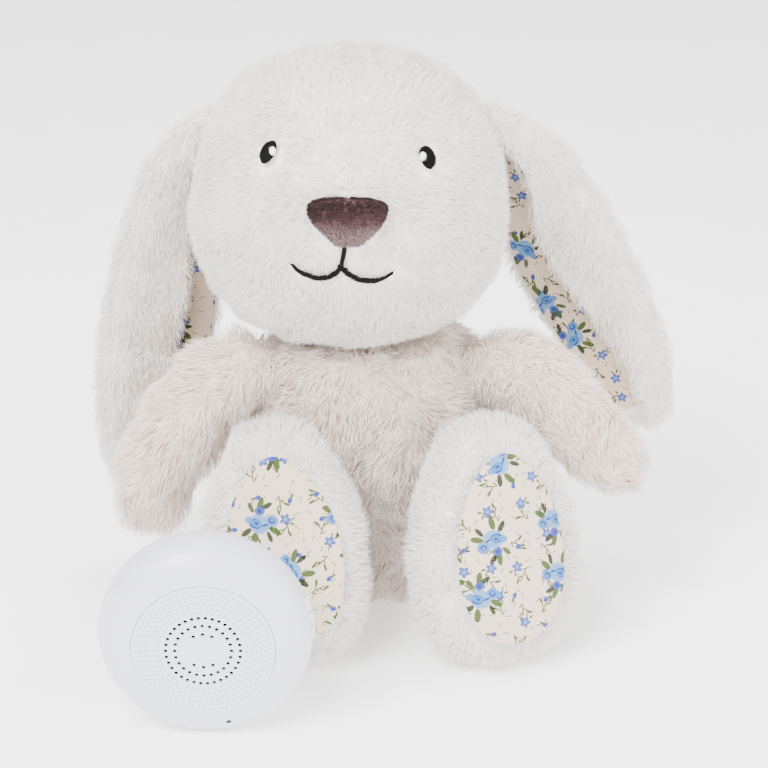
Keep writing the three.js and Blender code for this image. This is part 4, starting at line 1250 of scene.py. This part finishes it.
def make_grille(look):
    """A flat disc with two rings and two short arcs of sound holes, and rows of shallow dimples with painted
    shade in them.
    """
    outline = [(GRILLE["radius"], 96, (0, 0))]
    for at, count, first, last in SOUND_RINGS:
        for i in range(count):
            turn = 360 * i / count
            if first <= turn <= last:
                turn = math.radians(turn)
                outline.append((GRILLE["hole"], 12, (at * math.cos(turn), at * math.sin(turn))))
    holes = len(outline)
    for row, at in enumerate(np.linspace(16.6, 25.2, 6)):
        count = int(2 * math.pi * at / 2.15)
        for i in range(count):
            turn = 2 * math.pi * (i + 0.5 * (row % 2)) / count
            outline.append((GRILLE["dimple"], 8, (at * math.cos(turn), at * math.sin(turn))))
    points, edges, owner = [], [], []
    for index, (radius, sides, (x, y)) in enumerate(outline):
        start = len(points)
        for turn in around(sides):
            points.append(Vector((x + radius * math.cos(turn), y + radius * math.sin(turn))))
            owner.append(index)
        edges += [(start + k, start + (k + 1) % sides) for k in range(sides)]
        if index >= holes:
            points.append(Vector((x, y)))
            owner.append(-index)
    flat, _, triangles, _, _, _ = delaunay_2d_cdt(points, edges, [], 1, 1e-6)
    owner = owner[:len(flat)]
    within = [{owner[i] for i in triangle} for triangle in triangles]
    kept = [tuple(t) for t, own in zip(triangles, within) if len(own) > 1 or not 0 < min(own) < holes]
    top, low = MODULE["face"], MODULE["face"] - GRILLE["thickness"]
    count = len(flat)
    verts = [(p.x, p.y, top - (GRILLE["dimple_depth"] if owner[i] < 0 else 0)) for i, p in enumerate(flat)]
    verts += [(p.x, p.y, low) for p in flat]
    # Faces in the dimples take a darker plastic: painted shade in the hollows.
    in_painted_shade = [any(owner[i] < 0 for i in t) for t in kept]
    faces = kept + [tuple(i + count for i in reversed(t)) for t in kept]
    for a, b in edges:
        if owner[a] < holes:
            faces.append((a, b, b + count, a + count))
    obj = add_object("module_grille_disc", verts, faces)
    face_out(obj)
    smooth_by_angle(obj, 40)
    settle(set_in_module(obj), "sound_module", look["grille"], ["module_grille"])
    obj.data.materials.append(look["dimple"])
    for polygon, deep in zip(obj.data.polygons, in_painted_shade):
        polygon.material_index = int(deep)


def make_keys(look):
    bm = bmesh.new()
    for i, name in enumerate(KEYS["names"]):
        cap = set_in_module(key_block(f"{name}_cap", i, bevel=0.55))
        settle(cap, name, look["key"], [f"{name}_key"])
        turn = Matrix.Rotation(math.radians(key_turn(i)), 4, "Z")
        tilt = Matrix.Rotation(math.radians(KEYS["mark_tilt"]), 4, "Y")
        for across, along in KEY_MARKS[i]:
            bar = soft_box("bar", (-along, -across, -0.25), (along, across, 0.22), 0, 0.1)
            bar.data.transform(turn @ Matrix.Translation(KEYS["mark_at"]) @ tilt)
            bm.from_mesh(bar.data)
            bpy.data.objects.remove(bar)
    settle(set_in_module(object_from("key_marks", bm)), "sound_module", look["shell"])


# ---------------------------------------------------------------- pocket, tail and label
def make_flap(look):
    skin = joined("pocket_flap_skin", ["pocket_flap"])
    remeshed(skin, 1.5 * MM)
    relax(skin, 4)
    subdivided(skin)
    finish_skin(skin, "flap", "plush_cream", look, ["pocket_flap"])
    middle = np.array(middle_of("pocket_flap"))

    def towards(place):
        away = (place - middle) * np.array([0.6, 0, 0.3]) / (40 * MM)
        return away + np.array([0, 0, -1.0])

    def mask(place, outward):
        return np.where(outward[:, 1] > -0.2, 1.0, 0.0)

    grow("pocket_flap_fur", skin, "flap", "plush_cream", "flap", look, towards, mask, swirl=0.8, seed=27)


def make_tail(look):
    skin = joined("tail_skin", ["tail"])
    remeshed(skin, 1.6 * MM)
    relax(skin, 6)
    set_coords(skin.data, coords(skin.data) - normals(skin.data) * COATS["tail"]["inset"] * MM)
    subdivided(skin)
    finish_skin(skin, "torso", "plush_white", look, ["tail"])

    def towards(place):
        return np.tile([0.0, 0.4, -1.0], (len(place), 1))

    grow("tail_fur", skin, "torso", "plush_white", "tail", look, towards, swirl=1.4, seed=28)


def make_pocket(look):
    """The pocket's lining: a round of cloth with a gathered wall, open at the back."""
    low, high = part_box("pocket_liner")
    centre = middle_of("pocket_liner")
    inset = 1.2 * MM
    radius = (high.x - low.x) / 2 - inset
    floor, lip = low.y + inset, high.y + 0.4 * MM
    corner = radius * 0.06
    profile = [(radius * share, floor) for share in np.linspace(0.04, 0.94, 16)]
    profile += [(radius * (0.94 + 0.06 * math.sin(t)), floor + corner * (1 - math.cos(t)))
                for t in (0.5, 1.0, 1.57)]
    profile += [(radius, y) for y in np.linspace(floor + corner, lip, 18)[1:]]
    profile += [(radius + inset, lip + 0.8 * MM), (radius + 3.5 * MM, lip - 0.4 * MM)]
    sides, verts, faces = 144, [], []
    for r, y in profile:
        gathered = smooth_step(np.array(r), radius * 0.5, radius)
        for turn in around(sides):
            reach = r - 0.35 * MM * math.sin(19 * turn + 2.2 * math.sin(2 * turn)) * gathered
            verts.append((centre.x + reach * math.cos(turn), y, centre.z + reach * math.sin(turn)))
    for k in range(len(profile) - 1):
        faces += band(k * sides, sides)
    faces.append(tuple(reversed(range(sides))))
    obj = add_object("pocket_cloth", verts, faces)
    obj.data.flip_normals()
    settle(obj, "torso", look["liner"], ["pocket_liner"])


def make_label(look):
    """A satin care label, folded in half, with a wave in it."""
    obj = joined("care_label_cloth", ["care_label"])
    remeshed(obj, 0.35 * MM)
    points = coords(obj.data)
    points[:, 0] += np.sin(points[:, 2] / (3.5 * MM)) * 0.15 * MM
    set_coords(obj.data, points)
    settle(obj, "torso", look["label"], ["care_label"])


# ---------------------------------------------------------------- parts carried over from the CAD
CARRIED_OVER = {
    "sound_cloth": ["sound_cloth"], "steel": ["speaker_basket", "speaker_magnet"], "cone": ["speaker_cone"],
    "board": ["circuit_board", "key_board"], "cell": ["battery"], "socket": ["charging_socket"],
    "led": ["status_led"], "screw": [f"housing_screw_{i}" for i in (1, 2, 3)],
    "tape": [f"{kind}_tape_{side}" for kind in ("loop", "hook") for side in ("left", "right")],
}


def dress_carried_over(look):
    for kind, names in CARRIED_OVER.items():
        for name in names:
            mesh = frame["nodes"][name].data
            mesh.materials.clear()
            mesh.materials.append(look[kind])


# ---------------------------------------------------------------- looks of every material
def backing(name, low, high, scale=700, roughness=0.95, grain=0.5 * MM):
    """The knitted backing that shows between the strands of a coat."""
    return speckled(name, low, high, scale, roughness, grain, specular=0.1)


def make_looks():
    # The nose's roots take the darker tints of each band: painted shade near the skin.
    roots, tips = MAUVE_LOW[1:] + MAUVE_TOP[1:], MAUVE_LOW + MAUVE_TOP
    mauve = coat_materials("nose_fur", roots, tips, sheen=0.0, specular=0.1)
    return {
        "plush_white": {"skin": backing("white_skin", (236, 232, 227), (248, 245, 241)),
                        "fur": coat_materials("white_fur", WHITE_ROOTS_PAINTED_SHADE, WHITE_TIPS)},
        "plush_cream": {"skin": backing("cream_skin", (228, 214, 205), (242, 230, 222)),
                        "fur": coat_materials("cream_fur", CREAM_ROOTS_PAINTED_SHADE, CREAM_TIPS)},
        "nose_plush": {"skin": backing("nose_skin", (50, 32, 36), (78, 54, 58), 900, 0.9, 0.3 * MM),
                       "fur": mauve},
        "cotton": printed_cotton(),
        "thread": satin_thread("black_thread", (2, 2, 2), (10, 9, 9)),
        "eye_thread": satin_thread("eye_thread", (1, 1, 1), (7, 7, 7)),
        # Near-white thread for the painted highlight on each eye.
        "painted_highlight_thread": satin_thread("painted_highlight_thread", (236, 238, 240), (252, 252, 252), 0.4),
        "shell": plastic("shell_plastic", (205, 206, 215), (208, 209, 218), 0.32),
        "grille": plastic("grille_plastic", (203, 206, 214), (207, 210, 218), 0.42),
        # A darker tone of the grille's plastic: painted shade in the dimples.
        "dimple": plastic("painted_dimple_shade", (166, 169, 180), (174, 177, 188), 0.5),
        "key": plastic("key_plastic", (222, 224, 230), (226, 228, 234), 0.28),
        "sound_cloth": woven("sound_cloth", (1, 1, 1), (4, 4, 4), 0.5 * MM, 0.95),
        "liner": woven("liner_cloth", (226, 221, 213), (238, 234, 228), 0.5 * MM),
        "label": woven("label_satin", (240, 240, 240), (250, 250, 250), 0.25 * MM, 0.4),
        "tape": speckled("touch_tape", (226, 221, 214), (244, 240, 234), 2600, 0.7, 0.5 * MM, 0.9),
        "steel": brushed("speaker_steel", (140, 143, 146), (176, 179, 182)),
        "screw": brushed("screw_steel", (150, 152, 156), (190, 192, 195), 0.3),
        "socket": brushed("socket_metal", (176, 179, 183), (206, 208, 211), 0.28),
        "cone": speckled("cone_paper", (24, 24, 26), (40, 40, 42), 1200, 0.85, 0.05 * MM),
        "board": speckled("board", (26, 82, 48), (34, 100, 60), 500, 0.45, 0.02 * MM),
        "cell": speckled("cell_wrap", (150, 158, 166), (168, 175, 182), 300, 0.4, 0.02 * MM),
        "led": speckled("led_lens", (22, 22, 24), (34, 34, 36), 900, 0.2, 0.01 * MM),
    }


add_camera()
add_stage()
look = make_looks()
drop = face_surface(make_head(look))
make_nose(look)
make_mouth(look, drop)
make_eye("eye_left", look, drop, 1)
make_eye("eye_right", look, drop, -1)
make_torso(look)
for side in ("left", "right"):
    make_arm(side, look)
    make_leg(side, look)
    make_ear(side, look)
make_sole("left", look, (3, 12))
make_sole("right", look, (64, 20))
make_lining("left", look, (20, 90))
make_lining("right", look, (130, 10))
make_flap(look)
make_tail(look)
make_pocket(look)
make_label(look)
make_shells(look)
make_grille(look)
make_keys(look)
dress_carried_over(look)
